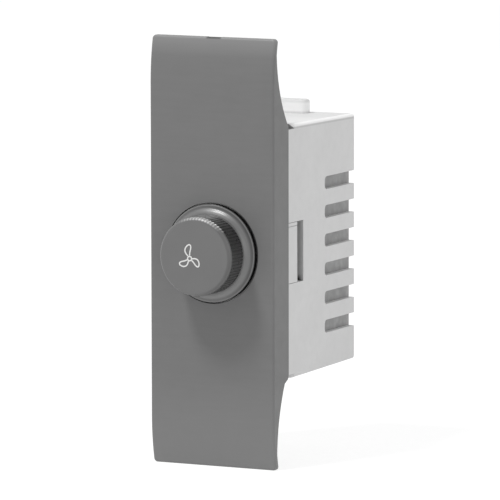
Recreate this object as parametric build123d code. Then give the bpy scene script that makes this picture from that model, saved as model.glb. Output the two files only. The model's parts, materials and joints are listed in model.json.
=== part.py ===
from build123d import *
import math
import os

# A rotary dimmer, one module wide. Millimetres.
# X is to the right seen from the front, Y goes back from the face, Z is up.
# The origin is where the knob's axis meets the flat of the front plate.

# Front plate
plate_width = 22.5
plate_height = 70.5
plate_curl_length = 7.75
plate_curl_radius = 33.0
plate_wall = 0.9
plate_rim_depth = 5.6
plate_scoop_rise = 1.3
plate_scoop_end = 1.75
plate_scoop_start = 0.33
plate_hollow_end = 3.75
plate_foot_step = 1.45
plate_foot_rise = 0.7
plate_corner_radius = 0.65
plate_edge_radius = 0.45
plate_shoulder_radius = 1.0
pry_notch_width = 2.6
pry_notch_height = 0.5

# Knob
knob_radius = 6.45
knob_height = 6.04
knob_edge_radius = 0.5
knob_wall = 1.1
knob_face_wall = 1.2
knob_flutes = 72
flute_cutter_share = 0.62
knob_flute_depth = 0.16
knob_flute_start = 0.75
knob_flute_end = 4.55
knob_cove_radius = 0.75
knob_skirt_radius = 8.05
knob_skirt_wall = 1.0
knob_skirt_front = 0.7
knob_skirt_rim = 0.45
knob_skirt_edge = 0.12
knob_skirt_depth = 0.55
knob_hub_radius = 3.5
knob_hole_gap = 0.25

# Housing sleeve
shell_side_step = 0.34
shell_height = 41.86
shell_draft_angle = 0.85
shell_wall = 1.05
shell_edge_radius = 0.55
shell_rear_radius = 0.4
slot_count = 6
slot_pitch = 4.775
slot_height = 2.15
slot_top_centre = 10.03
slot_length = 11.5
slot_end_radius = 0.7
slot_mouth_radius = 0.6
corner_cut_length = 2.9
corner_cut_width = 2.6
corner_cut_depth = 0.75
lug_width = 8.0
lug_length = 2.5
lug_height = 2.35
lug_rear_gap = 2.3
lug_side_radius = 0.8
lug_top_radius = 0.5

# Latch windows and tongues
window_top = 4.8
window_bottom = -5.25
window_length = 6.13
tongue_length = 3.79
tongue_gap = 0.08
tongue_rib = 0.55
tongue_slit_width = 0.6

# Front frame
frame_gap = 0.1
frame_panel_wall = 1.4
frame_side_gap = 0.15
frame_panel_margin = 0.73
frame_wall = 1.0
frame_skirt_lip = 0.11
snap_length = 10.0
snap_height = 0.3
snap_depth = 1.2
snap_offset = 1.6
pocket_radius = 6.4
pocket_wall = 1.2
pocket_floor = 1.4
pocket_depth = 1.6
post_radius = 1.0
post_side_margin = 3.0
post_end_margin = 3.2
board_stop_size = 1.4

# Rear cover
cover_gap = 0.06
cover_wall = 1.0
cover_back = 2.0
cover_rim_gap = 0.4
board_rail_size = 1.2

# Fits
running_gap = 0.03
press_gap = 0.02
lead_gap = 0.08
moving_gap = 0.3

# Reach of cutters past the faces they cut and of joined walls into each other, slack for picking edges
over_cut = 1.0
wall_overlap = 0.5
pick_slack = 0.01

# Rounds and chamfers as shares of the wall that carries them
outer_corner_share = 0.8
nut_chamfer_share = 0.9
screw_crown_share = 0.4
barrel_round_share = 0.3

# Potentiometer
shaft_radius = 2.0
shaft_flat = 1.5
neck_radius = 3.0
neck_proud = 0.4
pot_side_gap = 1.0
pot_flange = 1.0
pot_length = 6.0
pot_wall = 0.8
nut_flats = 8.6
nut_height = 1.8
washer_radius = 4.9
washer_height = 0.4
clip_radius = 2.9
clip_height = 0.5
clip_groove = 1.6
clip_mouth_share = 0.8
rotor_side_gap = 0.8
rotor_height = 1.8
finger_margin = 1.0
finger_size = 0.9
track_height = 1.0
track_bore = 2.6
pin_width = 0.8
pin_height = 0.5
pin_pitch = 2.5
pin_row_margin = 1.8
tail_radius = 1.2
cam_radius = 2.3
cam_lobe = 3.2
cam_height = 0.8
blade_length = 6.0
blade_thickness = 0.4
blade_space = 1.0

# Circuit board
board_side_gap = 0.3
board_end_gap = 0.42
board_height = 1.6
lead_radius = 0.35
lead_tail = 0.8
lead_stub = 0.35

# Choke
choke_rise = 7.6
choke_side_gap = 0.7
choke_rear_gap = 0.4
core_bore = 3.2
core_height = 4.6
wire_size = 0.5
winding_turns = 24
winding_span = 300.0
winding_groove = 0.2
winding_lead_angle = 12.0

# Triac and its heat sink
sink_wall = 1.2
sink_side_gap = 0.4
sink_end_gap = 1.2
sink_drop = 3.0
sink_leg_wall = 1.0
sink_leg_top_gap = 1.8
sink_leg_bottom_gap = 3.4
sink_rear_gap = 0.45
triac_width = 10.0
triac_length = 9.2
triac_height = 4.4
triac_tab = 1.3
triac_tab_length = 15.0
triac_hole_radius = 1.8
triac_hole_place = 12.6
triac_lead_pitch = 2.54
triac_lead_width = 0.8
triac_lead_height = 0.5
triac_lead_drop = 1.5
sink_screw_radius = 1.48
sink_screw_head = 2.75
sink_screw_head_height = 1.9
sink_nut_flats = 5.4
sink_nut_height = 2.0

# Other components
film_side_gap = 2.8
film_width = 5.0
film_height = 9.6
film_lead_inset = 1.0
film_corner_radius = 0.4
stand_off = 1.0
film_gap_share = 0.37
stack_end_gap = 1.4
timing_length = 6.4
timing_lead_inset = 0.8
timing_corner_radius = 0.3
timing_width = 2.6
timing_height = 6.4
timing_side_gap = 0.7
timing_end_gap = 4.2
fuse_radius = 3.7
fuse_lead_inset = 1.5
fuse_edge_radius = 0.4
fuse_height = 7.0
fuse_side_gap = 0.6
fuse_end_gap = 5.2
resistor_radius = 0.95
resistor_side_gap = 1.0
resistor_lead_run = 1.3
resistor_end_gap = 2.6
resistor_pitch = 2.6
diac_radius = 0.95
diac_lead_run = 1.0
diac_middle_gap = 0.2
diac_side_gap = 3.0
diac_end_gap = 1.7

# Terminals
terminal_entry_radius = 1.5
terminal_bar_height = 0.8
terminal_bar_seat = 0.7
terminal_bar_run = 1.8
terminal_block_height = 1.52
cage_wall = 0.5
cage_length = 4.6
cage_floor = 1.0
cage_roof = 1.8
cage_board_gap = 1.2
cage_travel = 2.8
cage_head_gap = 1.0
cage_roof_gap = 0.4
screw_radius = 1.45
screw_head_radius = 2.0
screw_head_height = 2.0
screw_tip_gap = 0.2
screw_slot_width = 0.6
screw_slot_depth = 1.0
driver_hole_radius = 1.6
partition_wall = 0.7

# Across: the sleeve stands inside the plate, and all else inside the sleeve
shell_half = plate_width / 2 - shell_side_step
inner_half = shell_half - shell_wall - cover_gap
room_half = inner_half - cover_wall
board_half = room_half - board_side_gap
pot_radius = room_half - pot_side_gap
rotor_radius = pot_radius - pot_wall - rotor_side_gap
finger_radius = rotor_radius - finger_margin
pin_row = -(pot_radius - pin_row_margin)
sink_half = room_half - sink_side_gap
core_radius = sink_half - sink_leg_wall - choke_side_gap - wire_size
terminal_pitch = 2 * room_half / 3
cage_width = terminal_pitch - partition_wall - 2 * moving_gap
terminal_bar_width = cage_width - 2 * cage_wall - 2 * moving_gap
bar_tail_share = 0.4
film_length = 2 * (room_half - film_side_gap)
fuse_x = -(room_half - fuse_side_gap - fuse_radius)
timing_x = room_half - timing_side_gap - timing_length / 2
resistor_span = room_half - resistor_side_gap
resistor_length = resistor_span - 2 * resistor_lead_run
resistor_x = -resistor_span / 2
diac_span = room_half - diac_middle_gap - diac_side_gap
diac_length = diac_span - 2 * diac_lead_run
diac_x = diac_middle_gap + diac_span / 2
terminal_places = {
    "left": -terminal_pitch,
    "middle": 0.0,
    "right": terminal_pitch,
}

# Up and down: the plate's curls, the frame, the board and what stands on it
plate_flat_half = plate_height / 2 - plate_curl_length
plate_scoop_centre = plate_height / 2 - plate_scoop_end
plate_shoulder = shell_height / 2 - plate_scoop_start
frame_panel_half = shell_height / 2 - frame_panel_margin
room_height = shell_height / 2 - shell_wall - cover_gap - cover_wall
board_top = room_height - board_end_gap
board_bottom = -board_top
terminal_block_end = terminal_block_height - room_height
terminal_screw_z = terminal_block_end + moving_gap + cage_length / 2
terminal_bar_end = terminal_block_end - terminal_bar_seat
terminal_bar_bend = terminal_screw_z + cage_length / 2 + terminal_bar_run
stack_room = board_top - stack_end_gap - terminal_bar_bend - film_width - triac_tab_length
film_place = terminal_bar_bend + stack_room * film_gap_share + film_width / 2
triac_place = board_top - stack_end_gap - triac_tab_length
choke_place = triac_place + choke_rise
sink_top = board_top - sink_end_gap
sink_bottom = triac_place - sink_drop
timing_z = board_bottom + timing_end_gap
fuse_z = board_top - fuse_end_gap
resistor_lower_z = board_bottom + resistor_end_gap
resistor_upper_z = resistor_lower_z + resistor_pitch
diac_z = board_bottom + diac_end_gap

# Front to back: frame, potentiometer, board, and the tallest parts behind it
shell_front = plate_rim_depth
frame_front = plate_wall + frame_gap
frame_panel_rear = frame_front + frame_panel_wall
pocket_seat = frame_front + pocket_depth
pot_seat = pocket_seat + pocket_floor
pot_front = pot_seat + pot_flange
pot_rear = pot_front + pot_length
neck_front = pocket_seat - washer_height - nut_height - neck_proud
clip_rear = neck_front - moving_gap
clip_front = clip_rear - clip_height
hub_rear = clip_front - moving_gap
knob_ceiling = knob_face_wall - knob_height
cam_front = pot_rear + moving_gap
cam_rear = cam_front + cam_height
board_front = cam_rear + moving_gap + lead_stub
board_rear = board_front + board_height
core_front = board_rear + stand_off + wire_size
winding_rear = core_front + core_height + wire_size
sink_front = winding_rear + choke_rear_gap + triac_height
sink_rear = sink_front + sink_wall
back_inner = sink_rear + sink_screw_head_height + sink_rear_gap
shell_rear = back_inner + cover_back
shell_depth = shell_rear - shell_front
slot_front = shell_rear - slot_length
window_rear = shell_front + window_length
tongue_front = shell_front + frame_gap
tongue_rear = tongue_front + tongue_length
frame_skirt_end = tongue_rear + frame_skirt_lip
cover_rim = frame_skirt_end + cover_rim_gap
snap_place = shell_front + snap_offset
screw_head_front = back_inner - moving_gap - screw_head_height
cage_rear = screw_head_front - cage_head_gap - cage_travel
cage_window_rear = cage_rear - cage_roof
terminal_bar_rear = cage_window_rear - cage_roof_gap
terminal_bar_y = terminal_bar_rear - terminal_bar_height
cage_front = board_rear + cage_board_gap
terminal_entry_y = (terminal_bar_y + cage_front + cage_floor) / 2


def shell_half_height(y):
    """Half height of the sleeve's outer face at depth y."""
    return shell_height / 2 - math.tan(math.radians(shell_draft_angle)) * (y - shell_front)


def limits_box(x0, x1, y0, y1, z0, z1):
    """Box given by its limits on the three axes."""
    corner = Pos((x0 + x1) / 2, (y0 + y1) / 2, (z0 + z1) / 2)
    return corner * Box(abs(x1 - x0), abs(y1 - y0), abs(z1 - z0))


def rod_y(radius, y0, y1, x=0.0, z=0.0):
    """Cylinder along Y from y0 to y1."""
    place = Pos(x, (y0 + y1) / 2, z) * Rot(90, 0, 0)
    return place * Cylinder(radius, abs(y1 - y0))


def rod_x(radius, x0, x1, y, z):
    """Cylinder along X from x0 to x1."""
    place = Pos((x0 + x1) / 2, y, z) * Rot(0, 90, 0)
    return place * Cylinder(radius, abs(x1 - x0))


def rod_z(radius, z0, z1, x, y):
    """Cylinder along Z from z0 to z1."""
    return Pos(x, y, (z0 + z1) / 2) * Cylinder(radius, abs(z1 - z0))


def hex_y(flats, y0, y1, x=0.0, z=0.0):
    """Hexagonal prism along Y, given by its width across flats."""
    section = RegularPolygon(flats / 2, 6, major_radius=False)
    face = Plane(origin=(x, y0, z), x_dir=(1, 0, 0), z_dir=(0, 1, 0)) * section
    return extrude(face, y1 - y0)


def side_prism(face, half_width):
    """Prism across X of a flat face drawn in (y, z)."""
    plane = Plane(origin=(-half_width, 0, 0), x_dir=(0, 1, 0), z_dir=(1, 0, 0))
    return extrude(plane * face, 2 * half_width)


def side_face(upper, lower):
    """Face of one closed (y, z) outline above z = 0 and another's mirror image below."""
    return make_face(upper) + mirror(make_face(lower), Plane.XZ)


def tapered_block(half_width, y0, y1, inset):
    """Block that follows the sleeve's draft, set in from its outer face by inset."""
    front = shell_half_height(y0) - inset
    rear = shell_half_height(y1) - inset
    outline = Polyline((y0, -front), (y1, -rear), (y1, rear), (y0, front), close=True)
    return side_prism(make_face(outline), half_width)


def turned(outline):
    """Solid turned about the Y axis from a closed outline of (radius, y) lines."""
    return revolve(make_face(outline), Axis.Y)


def shaft_section(radius, flat, y0, y1):
    """Round bar with one flat, on the knob's axis."""
    bar = rod_y(radius, y0, y1)
    return bar - limits_box(-radius, radius, y0, y1, flat, radius)


def circle_crossing(centre_a, radius_a, centre_b, radius_b):
    """The crossing of two circles that lies nearer to the plate's end."""
    dy = centre_b[0] - centre_a[0]
    dz = centre_b[1] - centre_a[1]
    distance = math.hypot(dy, dz)
    along = (radius_a ** 2 - radius_b ** 2 + distance ** 2) / (2 * distance)
    across = math.sqrt(radius_a ** 2 - along ** 2)
    base = (centre_a[0] + along * dy / distance, centre_a[1] + along * dz / distance)
    first = (base[0] + across * dz / distance, base[1] - across * dy / distance)
    second = (base[0] - across * dz / distance, base[1] + across * dy / distance)
    return min(first, second)


def point_on(centre, radius, z):
    """Point at height z on the front half of a circle in the side view."""
    return (centre[0] - math.sqrt(radius ** 2 - (z - centre[1]) ** 2), z)


def arc_through(centre, radius, z0, z1):
    """Arc on the front half of a circle, from height z0 to z1."""
    middle = point_on(centre, radius, (z0 + z1) / 2)
    return ThreePointArc(point_on(centre, radius, z0), middle, point_on(centre, radius, z1))


def plate_curl():
    """Centre of the curl's arcs in the side view."""
    return (plate_curl_radius, plate_flat_half)


def plate_scoop(start):
    """Centre and radius of the arc from start, by the sleeve, to the plate's thin end."""
    depth = start[0] - plate_scoop_rise
    length = plate_scoop_centre - start[1]
    radius = (depth ** 2 + length ** 2) / (2 * depth)
    return (plate_scoop_rise + radius, plate_scoop_centre), radius


def plate_outline(start):
    """Half of the plate's side view, closed along Z = 0, with its scoop from start."""
    shoulder = (plate_rim_depth, plate_shoulder)
    end = plate_height / 2
    curl = plate_curl()
    inner_radius = plate_curl_radius - plate_wall
    scoop, scoop_radius = plate_scoop(start)
    meet = circle_crossing(curl, inner_radius, scoop, scoop_radius)
    lines = Line((0, 0), (0, plate_flat_half))
    lines += arc_through(curl, plate_curl_radius, plate_flat_half, end)
    lines += Line(point_on(curl, plate_curl_radius, end), point_on(curl, inner_radius, end))
    lines += arc_through(curl, inner_radius, end, meet[1])
    lines += arc_through(scoop, scoop_radius, meet[1], start[1])
    if start != shoulder:
        lines += Line(start, shoulder)
    lines += Line(shoulder, (plate_rim_depth, 0))
    lines += Line((plate_rim_depth, 0), (0, 0))
    return lines


def plate_hollow():
    """Upper half of the space behind the plate's face."""
    end = plate_height / 2 - plate_hollow_end
    curl = plate_curl()
    inner_radius = plate_curl_radius - plate_wall
    back = plate_rim_depth + over_cut
    lines = Line((plate_wall, 0), (plate_wall, plate_flat_half))
    lines += arc_through(curl, inner_radius, plate_flat_half, end)
    lines += Line(point_on(curl, inner_radius, end), (back, end))
    lines += Line((back, end), (back, 0))
    lines += Line((back, 0), (plate_wall, 0))
    return lines


def both_halves(half):
    """A half above Z = 0 joined to its mirror image below."""
    return half + half.mirror(Plane.XY)


def post_places():
    """Centres of the four posts that hold the plate to the frame."""
    reach_x = plate_width / 2 - plate_wall - frame_side_gap - post_side_margin
    reach_z = frame_panel_half - post_end_margin
    for x in (-reach_x, reach_x):
        for z in (-reach_z, reach_z):
            yield x, z


def make_front_plate():
    """Moulded cover with curled ends, scooped side walls and four posts."""
    half = plate_width / 2
    head = (plate_rim_depth, plate_shoulder)
    foot = (plate_rim_depth - plate_foot_step, plate_shoulder + plate_foot_rise)
    plate = side_prism(side_face(plate_outline(head), plate_outline(foot)), half)
    corners = plate.edges().filter_by(Axis.Y).filter_by(
        lambda edge: abs(edge.center().Z) > plate_height / 2 - pick_slack)
    plate = fillet(corners, plate_corner_radius)
    plate = fillet(long_front_edges(plate, half), plate_edge_radius)
    shoulders = plate.edges().filter_by(Axis.X).filter_by(
        lambda edge: abs(edge.center().Y - plate_rim_depth) < pick_slack)
    plate = fillet(shoulders, plate_shoulder_radius)
    plate -= side_prism(side_face(plate_hollow(), plate_hollow()), half - plate_wall)
    plate -= rod_y(knob_skirt_radius + knob_hole_gap, -over_cut, plate_rim_depth)
    for x, z in post_places():
        plate += rod_y(post_radius, plate_wall / 2, frame_panel_rear, x, z)
    return plate - pry_notch()


def long_front_edges(plate, half):
    """The plate's front edges along its two sides, curls included."""
    return plate.edges().filter_by(
        lambda edge: abs(abs(edge.center().X) - half) < pick_slack
        and edge.center().Y < plate_wall / 2 and edge.length > plate_wall * 2)


def pry_notch():
    """Small notch in the middle of the plate's top end."""
    top = plate_height / 2
    front = point_on(plate_curl(), plate_curl_radius - plate_wall / 2, top)[0]
    half = pry_notch_width / 2
    return limits_box(-half, half, front, plate_rim_depth, top - pry_notch_height, top + over_cut)


def knob_outline():
    """Half section of the knob: face, rim, flank, skirt band and hollow."""
    front = -knob_height
    flank_end = -knob_skirt_front - knob_cove_radius
    band_start = knob_radius + knob_cove_radius
    edge = knob_skirt_edge
    inner = knob_radius - knob_wall
    skirt_inner = knob_skirt_radius - knob_skirt_wall
    rim = knob_edge_radius
    lines = Line((0, front), (knob_radius - rim, front))
    lines += RadiusArc((knob_radius - rim, front), (knob_radius, front + rim), -rim)
    lines += Line((knob_radius, front + rim), (knob_radius, flank_end))
    lines += RadiusArc((knob_radius, flank_end), (band_start, -knob_skirt_front), knob_cove_radius)
    lines += Line((band_start, -knob_skirt_front), (knob_skirt_radius - edge, -knob_skirt_rim))
    lines += RadiusArc(
        (knob_skirt_radius - edge, -knob_skirt_rim), (knob_skirt_radius, edge - knob_skirt_rim), -edge)
    lines += Line((knob_skirt_radius, edge - knob_skirt_rim), (knob_skirt_radius, knob_skirt_depth))
    lines += Line((knob_skirt_radius, knob_skirt_depth), (skirt_inner, knob_skirt_depth))
    lines += Line((skirt_inner, knob_skirt_depth), (skirt_inner, 0))
    lines += Line((skirt_inner, 0), (inner, flank_end))
    lines += Line((inner, flank_end), (inner, knob_ceiling))
    lines += Line((inner, knob_ceiling), (knob_hub_radius, knob_ceiling))
    lines += Line((knob_hub_radius, knob_ceiling), (knob_hub_radius, hub_rear))
    lines += Line((knob_hub_radius, hub_rear), (0, hub_rear))
    lines += Line((0, hub_rear), (0, front))
    return lines


def flute_ring():
    """Ring of shallow round flutes cut into the knob's flank."""
    cutter_radius = math.pi * knob_radius / knob_flutes * flute_cutter_share
    centre = knob_radius + cutter_radius - knob_flute_depth
    y0 = -knob_height + knob_flute_start
    y1 = -knob_height + knob_flute_end
    cutter = rod_y(cutter_radius, y0, y1, centre)
    return [Rot(0, 360 / knob_flutes * i, 0) * cutter for i in range(knob_flutes)]


def make_knob():
    """Hollow fluted knob with a skirt and a hub for the shaft."""
    knob = turned(knob_outline())
    knob -= flute_ring()
    socket = shaft_section(
        shaft_radius + press_gap, shaft_flat + press_gap, knob_ceiling, hub_rear)
    return knob - socket


def make_front_frame():
    """Tray behind the plate: panel, stepped skirt, latch tongues, pocket."""
    panel_half = plate_width / 2 - plate_wall - frame_side_gap
    stop = shell_front - frame_gap
    frame = limits_box(-panel_half, panel_half, frame_front, stop,
                       -frame_panel_half, frame_panel_half)
    frame += tapered_block(inner_half, stop, frame_skirt_end, shell_wall + cover_gap)
    frame += frame_snaps()
    frame -= frame_room()
    frame += rod_y(pocket_radius + pocket_wall, frame_front, pot_seat)
    frame -= rod_y(pocket_radius, frame_front - over_cut, pocket_seat)
    frame -= rod_y(neck_radius + press_gap, frame_front, pot_seat + over_cut)
    for side in (-1, 1):
        frame += latch_tongue(side)
        frame -= tongue_slits(side)
    for x, z in post_places():
        frame -= rod_y(post_radius + press_gap, frame_front, frame_panel_rear, x, z)
    for x in (-1, 1):
        for z in (board_top - board_stop_size / 2, board_bottom + board_stop_size / 2):
            frame += board_stop(x * (board_half - board_stop_size), z)
    return frame


def frame_room():
    """Space inside the front frame's skirt."""
    inset = shell_wall + cover_gap + frame_wall
    return tapered_block(inner_half - frame_wall, frame_panel_rear, frame_skirt_end, inset)


def frame_snaps():
    """Ridges on the skirt's top and bottom that click into the sleeve."""
    top = shell_half_height(snap_place) - shell_wall - cover_gap
    ridge = limits_box(
        -snap_length / 2, snap_length / 2,
        snap_place, snap_place + snap_depth,
        top - frame_wall / 2, top + snap_height,
    )
    outer = ridge.edges().filter_by(Axis.X).group_by(Axis.Z)[-1]
    return both_halves(chamfer(outer, snap_height * outer_corner_share))


def latch_tongue(side):
    """Tongue that fills the sleeve's window, flush with its side, with a guide rib."""
    inner = side * (inner_half - frame_wall / 2)
    outer = side * shell_half
    top = window_top - tongue_gap
    bottom = window_bottom + tongue_gap
    tongue = limits_box(inner, outer, tongue_front, tongue_rear, bottom, top)
    slit = limits_box(
        side * inner_half, side * (shell_half + over_cut),
        tongue_front, tongue_rear,
        top - tongue_rib - tongue_gap, top - tongue_rib,
    )
    return tongue - slit


def tongue_slits(side):
    """Slits above and below a tongue that let it spring inwards."""
    slits = []
    for edge, direction in ((window_top, 1), (window_bottom, -1)):
        near = edge + direction * shell_wall
        slits.append(limits_box(
            side * (room_half - over_cut), side * (inner_half + pick_slack),
            tongue_front, frame_skirt_end + over_cut,
            near, near + direction * tongue_slit_width,
        ))
    return slits


def board_stop(x, z):
    """Square post that holds the circuit board from the front."""
    half = board_stop_size / 2
    return limits_box(x - half, x + half, frame_panel_rear, board_front, z - half, z + half)


def make_housing_shell():
    """Drafted sleeve with slots open at the rear, windows, lugs and wire entries."""
    shell = tapered_block(shell_half, shell_front, shell_rear, 0)
    long_edges = [
        edge for edge in shell.edges()
        if edge.length > shell_depth - pick_slack and abs(edge.center().X) > shell_half - pick_slack
        and abs(edge.tangent_at(0.5).Y) > 0.9
    ]
    shell = fillet(long_edges, shell_edge_radius)
    shell = fillet(shell.faces().sort_by(Axis.Y)[-1].edges(), shell_rear_radius)
    shell -= tapered_block(shell_half - shell_wall, shell_front, shell_rear, shell_wall)
    for side in (-1, 1):
        shell -= vent_slots(side)
        shell -= limits_box(
            side * (inner_half - over_cut), side * (shell_half + over_cut),
            shell_front - over_cut, window_rear, window_bottom, window_top,
        )
        shell -= corner_cuts(side)
    shell -= snap_recesses()
    shell += both_halves(make_lug())
    for x in terminal_places.values():
        shell -= rod_z(
            terminal_entry_radius + moving_gap,
            -shell_half_height(terminal_entry_y) - over_cut,
            -shell_half_height(terminal_entry_y) + shell_wall + over_cut,
            x, terminal_entry_y,
        )
    return shell


def slot_outline(z):
    """Side view of one slot: straight, with a rounded mouth that opens past the sleeve's rear."""
    half = slot_height / 2
    wide = half + slot_mouth_radius
    start = shell_rear - slot_mouth_radius
    bend = slot_mouth_radius * math.sqrt(0.5)
    lower = ThreePointArc((start, z - half), (start + bend, z - wide + bend), (shell_rear, z - wide))
    upper = ThreePointArc((shell_rear, z + wide), (start + bend, z + wide - bend), (start, z + half))
    beyond = shell_rear + over_cut
    end = Polyline((shell_rear, z - wide), (beyond, z - wide), (beyond, z + wide), (shell_rear, z + wide))
    body = Polyline((start, z + half), (slot_front, z + half), (slot_front, z - half), (start, z - half))
    return lower + end + upper + body


def vent_slots(side):
    """Cutters for one side's slots, round-cornered at the front, open at the rear."""
    cutters = []
    for i in range(slot_count):
        z = slot_top_centre - i * slot_pitch
        block = side_prism(make_face(slot_outline(z)), shell_half + over_cut)
        block &= limits_box(
            side * (inner_half - over_cut), side * (shell_half + over_cut),
            slot_front, shell_rear + over_cut,
            z - slot_pitch / 2, z + slot_pitch / 2,
        )
        front = block.edges().filter_by(Axis.X).group_by(Axis.Y)[0]
        cutters.append(fillet(front, slot_end_radius))
    return cutters


def corner_cuts(side):
    """Slanted cuts at the sleeve's two front corners on one side."""
    edge = side * shell_half
    outline = Polyline(
        (edge, shell_front),
        (edge, shell_front + corner_cut_length),
        (edge - side * corner_cut_width, shell_front),
        close=True,
    )
    top = shell_height / 2
    face = Plane.XY.offset(top - corner_cut_depth) * make_face(outline)
    return both_halves(extrude(face, corner_cut_depth + over_cut))


def snap_recesses():
    """Blind grooves inside the sleeve for the front frame's ridges."""
    top = shell_half_height(snap_place) - shell_wall
    gap = moving_gap / 2
    recess = limits_box(
        -snap_length / 2 - gap, snap_length / 2 + gap,
        snap_place - gap, snap_place + snap_depth + gap,
        top - over_cut, top + snap_height,
    )
    return both_halves(recess)


def make_lug():
    """Rounded rib across the sleeve's top near its rear."""
    rear = shell_rear - lug_rear_gap
    front = rear - lug_length
    base = shell_half_height(rear)
    lug = limits_box(
        -lug_width / 2, lug_width / 2, front, rear,
        base - shell_wall / 2, base + lug_height,
    )
    lug = fillet(lug.edges().filter_by(Axis.Z), lug_side_radius)
    crown = lug.edges().group_by(Axis.Z)[-1]
    return fillet(crown, lug_top_radius)


def make_rear_cover():
    """Inner body: walls behind the slots, back wall and terminal chambers."""
    inset = shell_wall + cover_gap
    cover = tapered_block(inner_half, cover_rim, shell_rear, inset)
    cover -= tapered_block(room_half, cover_rim, back_inner, inset + cover_wall)
    cover += board_rails()
    cover += terminal_walls()
    for x in terminal_places.values():
        cover -= rod_z(terminal_entry_radius, -shell_height, terminal_block_end + over_cut,
                       x, terminal_entry_y)
        cover -= rod_y(driver_hole_radius, back_inner - over_cut, shell_rear + over_cut,
                       x, terminal_screw_z)
        cover -= bar_seat(x)
    return cover


def board_rails():
    """Corner rails of the rear cover that the circuit board lies on."""
    size = board_rail_size
    inset = shell_wall + cover_gap + cover_wall / 2
    rear_height = shell_half_height(back_inner) - inset
    rails = []
    for side in (-1, 1):
        for z0, z1 in ((board_top - size, rear_height), (-rear_height, board_bottom + size)):
            x0 = side * (board_half - size)
            x1 = side * (room_half + cover_wall / 2)
            rails.append(limits_box(x0, x1, board_rear, back_inner + wall_overlap, z0, z1))
    return rails


def terminal_walls():
    """Entry block along the bottom and the partitions between the terminals."""
    bottom = -(shell_half_height(back_inner) - shell_wall - cover_gap - cover_wall / 2)
    block_half = board_half - board_rail_size / 2
    block_front = terminal_entry_y - terminal_entry_radius - cover_wall
    walls = [limits_box(
        -block_half, block_half,
        block_front, terminal_bar_rear + cover_wall, bottom, terminal_block_end,
    )]
    partition_top = terminal_screw_z + cage_length / 2 + cover_wall
    for side in (-1, 1):
        x = side * terminal_pitch / 2
        walls.append(limits_box(
            x - partition_wall / 2, x + partition_wall / 2,
            board_rear + stand_off, back_inner + wall_overlap, bottom, partition_top,
        ))
    return walls


def bar_seat(x):
    """Slot in the entry block that holds a contact bar's end."""
    half = terminal_bar_width / 2 + lead_gap
    return limits_box(
        x - half, x + half,
        terminal_bar_y, terminal_bar_rear + lead_gap,
        terminal_bar_end - lead_gap, terminal_block_end + over_cut,
    )


def make_pot_bushing():
    """Threaded neck and round flange that carry the shaft."""
    neck = rod_y(neck_radius, neck_front, pot_seat + pot_flange / 2)
    front_edge = neck.edges().group_by(Axis.Y)[0]
    neck = chamfer(front_edge, moving_gap)
    flange = rod_y(pot_radius, pot_seat, pot_front)
    bore = rod_y(shaft_radius + running_gap, neck_front - over_cut, pot_front + over_cut)
    return neck + flange - bore


def make_pot_washer():
    """Flat washer in the frame's pocket."""
    washer = rod_y(washer_radius, pocket_seat - washer_height, pocket_seat)
    return washer - rod_y(neck_radius + press_gap, pocket_seat - over_cut, pocket_seat + over_cut)


def make_pot_nut():
    """Hexagonal nut that clamps the bushing to the frame."""
    rear = pocket_seat - washer_height
    nut = hex_y(nut_flats, rear - nut_height, rear)
    nut &= turned_barrel(nut_flats, rear - nut_height, rear)
    return nut - rod_y(neck_radius + press_gap, rear - nut_height - over_cut, rear + over_cut)


def turned_barrel(flats, y0, y1):
    """Chamfered cylinder that trims a nut's corners on its front side."""
    corner = flats / math.sqrt(3)
    barrel = rod_y(corner, y0, y1)
    return chamfer(barrel.edges().group_by(Axis.Y)[0], (corner - flats / 2) * nut_chamfer_share)


def make_pot_case():
    """Round can behind the flange, slotted for the pins and bored for the tail."""
    case = rod_y(pot_radius, pot_front, pot_rear)
    case -= rod_y(pot_radius - pot_wall, pot_front, pot_rear - pot_wall)
    case -= rod_y(tail_radius + moving_gap, pot_rear - 2 * pot_wall, pot_rear + over_cut)
    for x in pin_places():
        case -= pin_block(x, pot_rear - 2 * pot_wall, pot_rear + over_cut, lead_gap)
    return case


def pin_places():
    """X places of the three potentiometer pins."""
    return [-pin_pitch, 0.0, pin_pitch]


def pin_block(x, y0, y1, gap=0.0):
    """One flat pin, or its slot when a gap is given."""
    half_x = pin_width / 2 + gap
    half_z = pin_height / 2 + gap
    return limits_box(x - half_x, x + half_x, y0, y1, pin_row - half_z, pin_row + half_z)


def make_resistive_track():
    """Ring-shaped wafer at the back of the case."""
    rear = pot_rear - pot_wall
    front = rear - track_height
    wafer = rod_y(pot_radius - pot_wall - lead_gap, front, rear)
    return wafer - rod_y(track_bore, front - over_cut, rear + over_cut)


def make_pot_pins():
    """Three pins from the wafer to the circuit board."""
    start = pot_rear - pot_wall
    return Compound([pin_block(x, start, board_rear + lead_tail) for x in pin_places()])


def make_knob_shaft():
    """Shaft with a flat for the knob, a clip groove, and a thinner tail."""
    step = pot_rear - pot_wall - track_height - moving_gap
    shaft = shaft_section(shaft_radius, shaft_flat, knob_ceiling + press_gap, clip_front)
    shaft += rod_y(shaft_radius, clip_front, step)
    shaft += rod_y(tail_radius, step, cam_rear)
    groove = rod_y(shaft_radius + over_cut, clip_front, clip_rear)
    groove -= rod_y(clip_groove, clip_front, clip_rear)
    return shaft - groove


def make_shaft_clip():
    """Open ring in the shaft's groove, before the threaded neck."""
    clip = rod_y(clip_radius, clip_front, clip_rear)
    clip -= rod_y(clip_groove, clip_front - over_cut, clip_rear + over_cut)
    mouth = clip_groove * clip_mouth_share
    return clip - limits_box(-mouth, mouth, clip_front - over_cut, clip_rear + over_cut,
                             0, clip_radius + over_cut)


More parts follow.
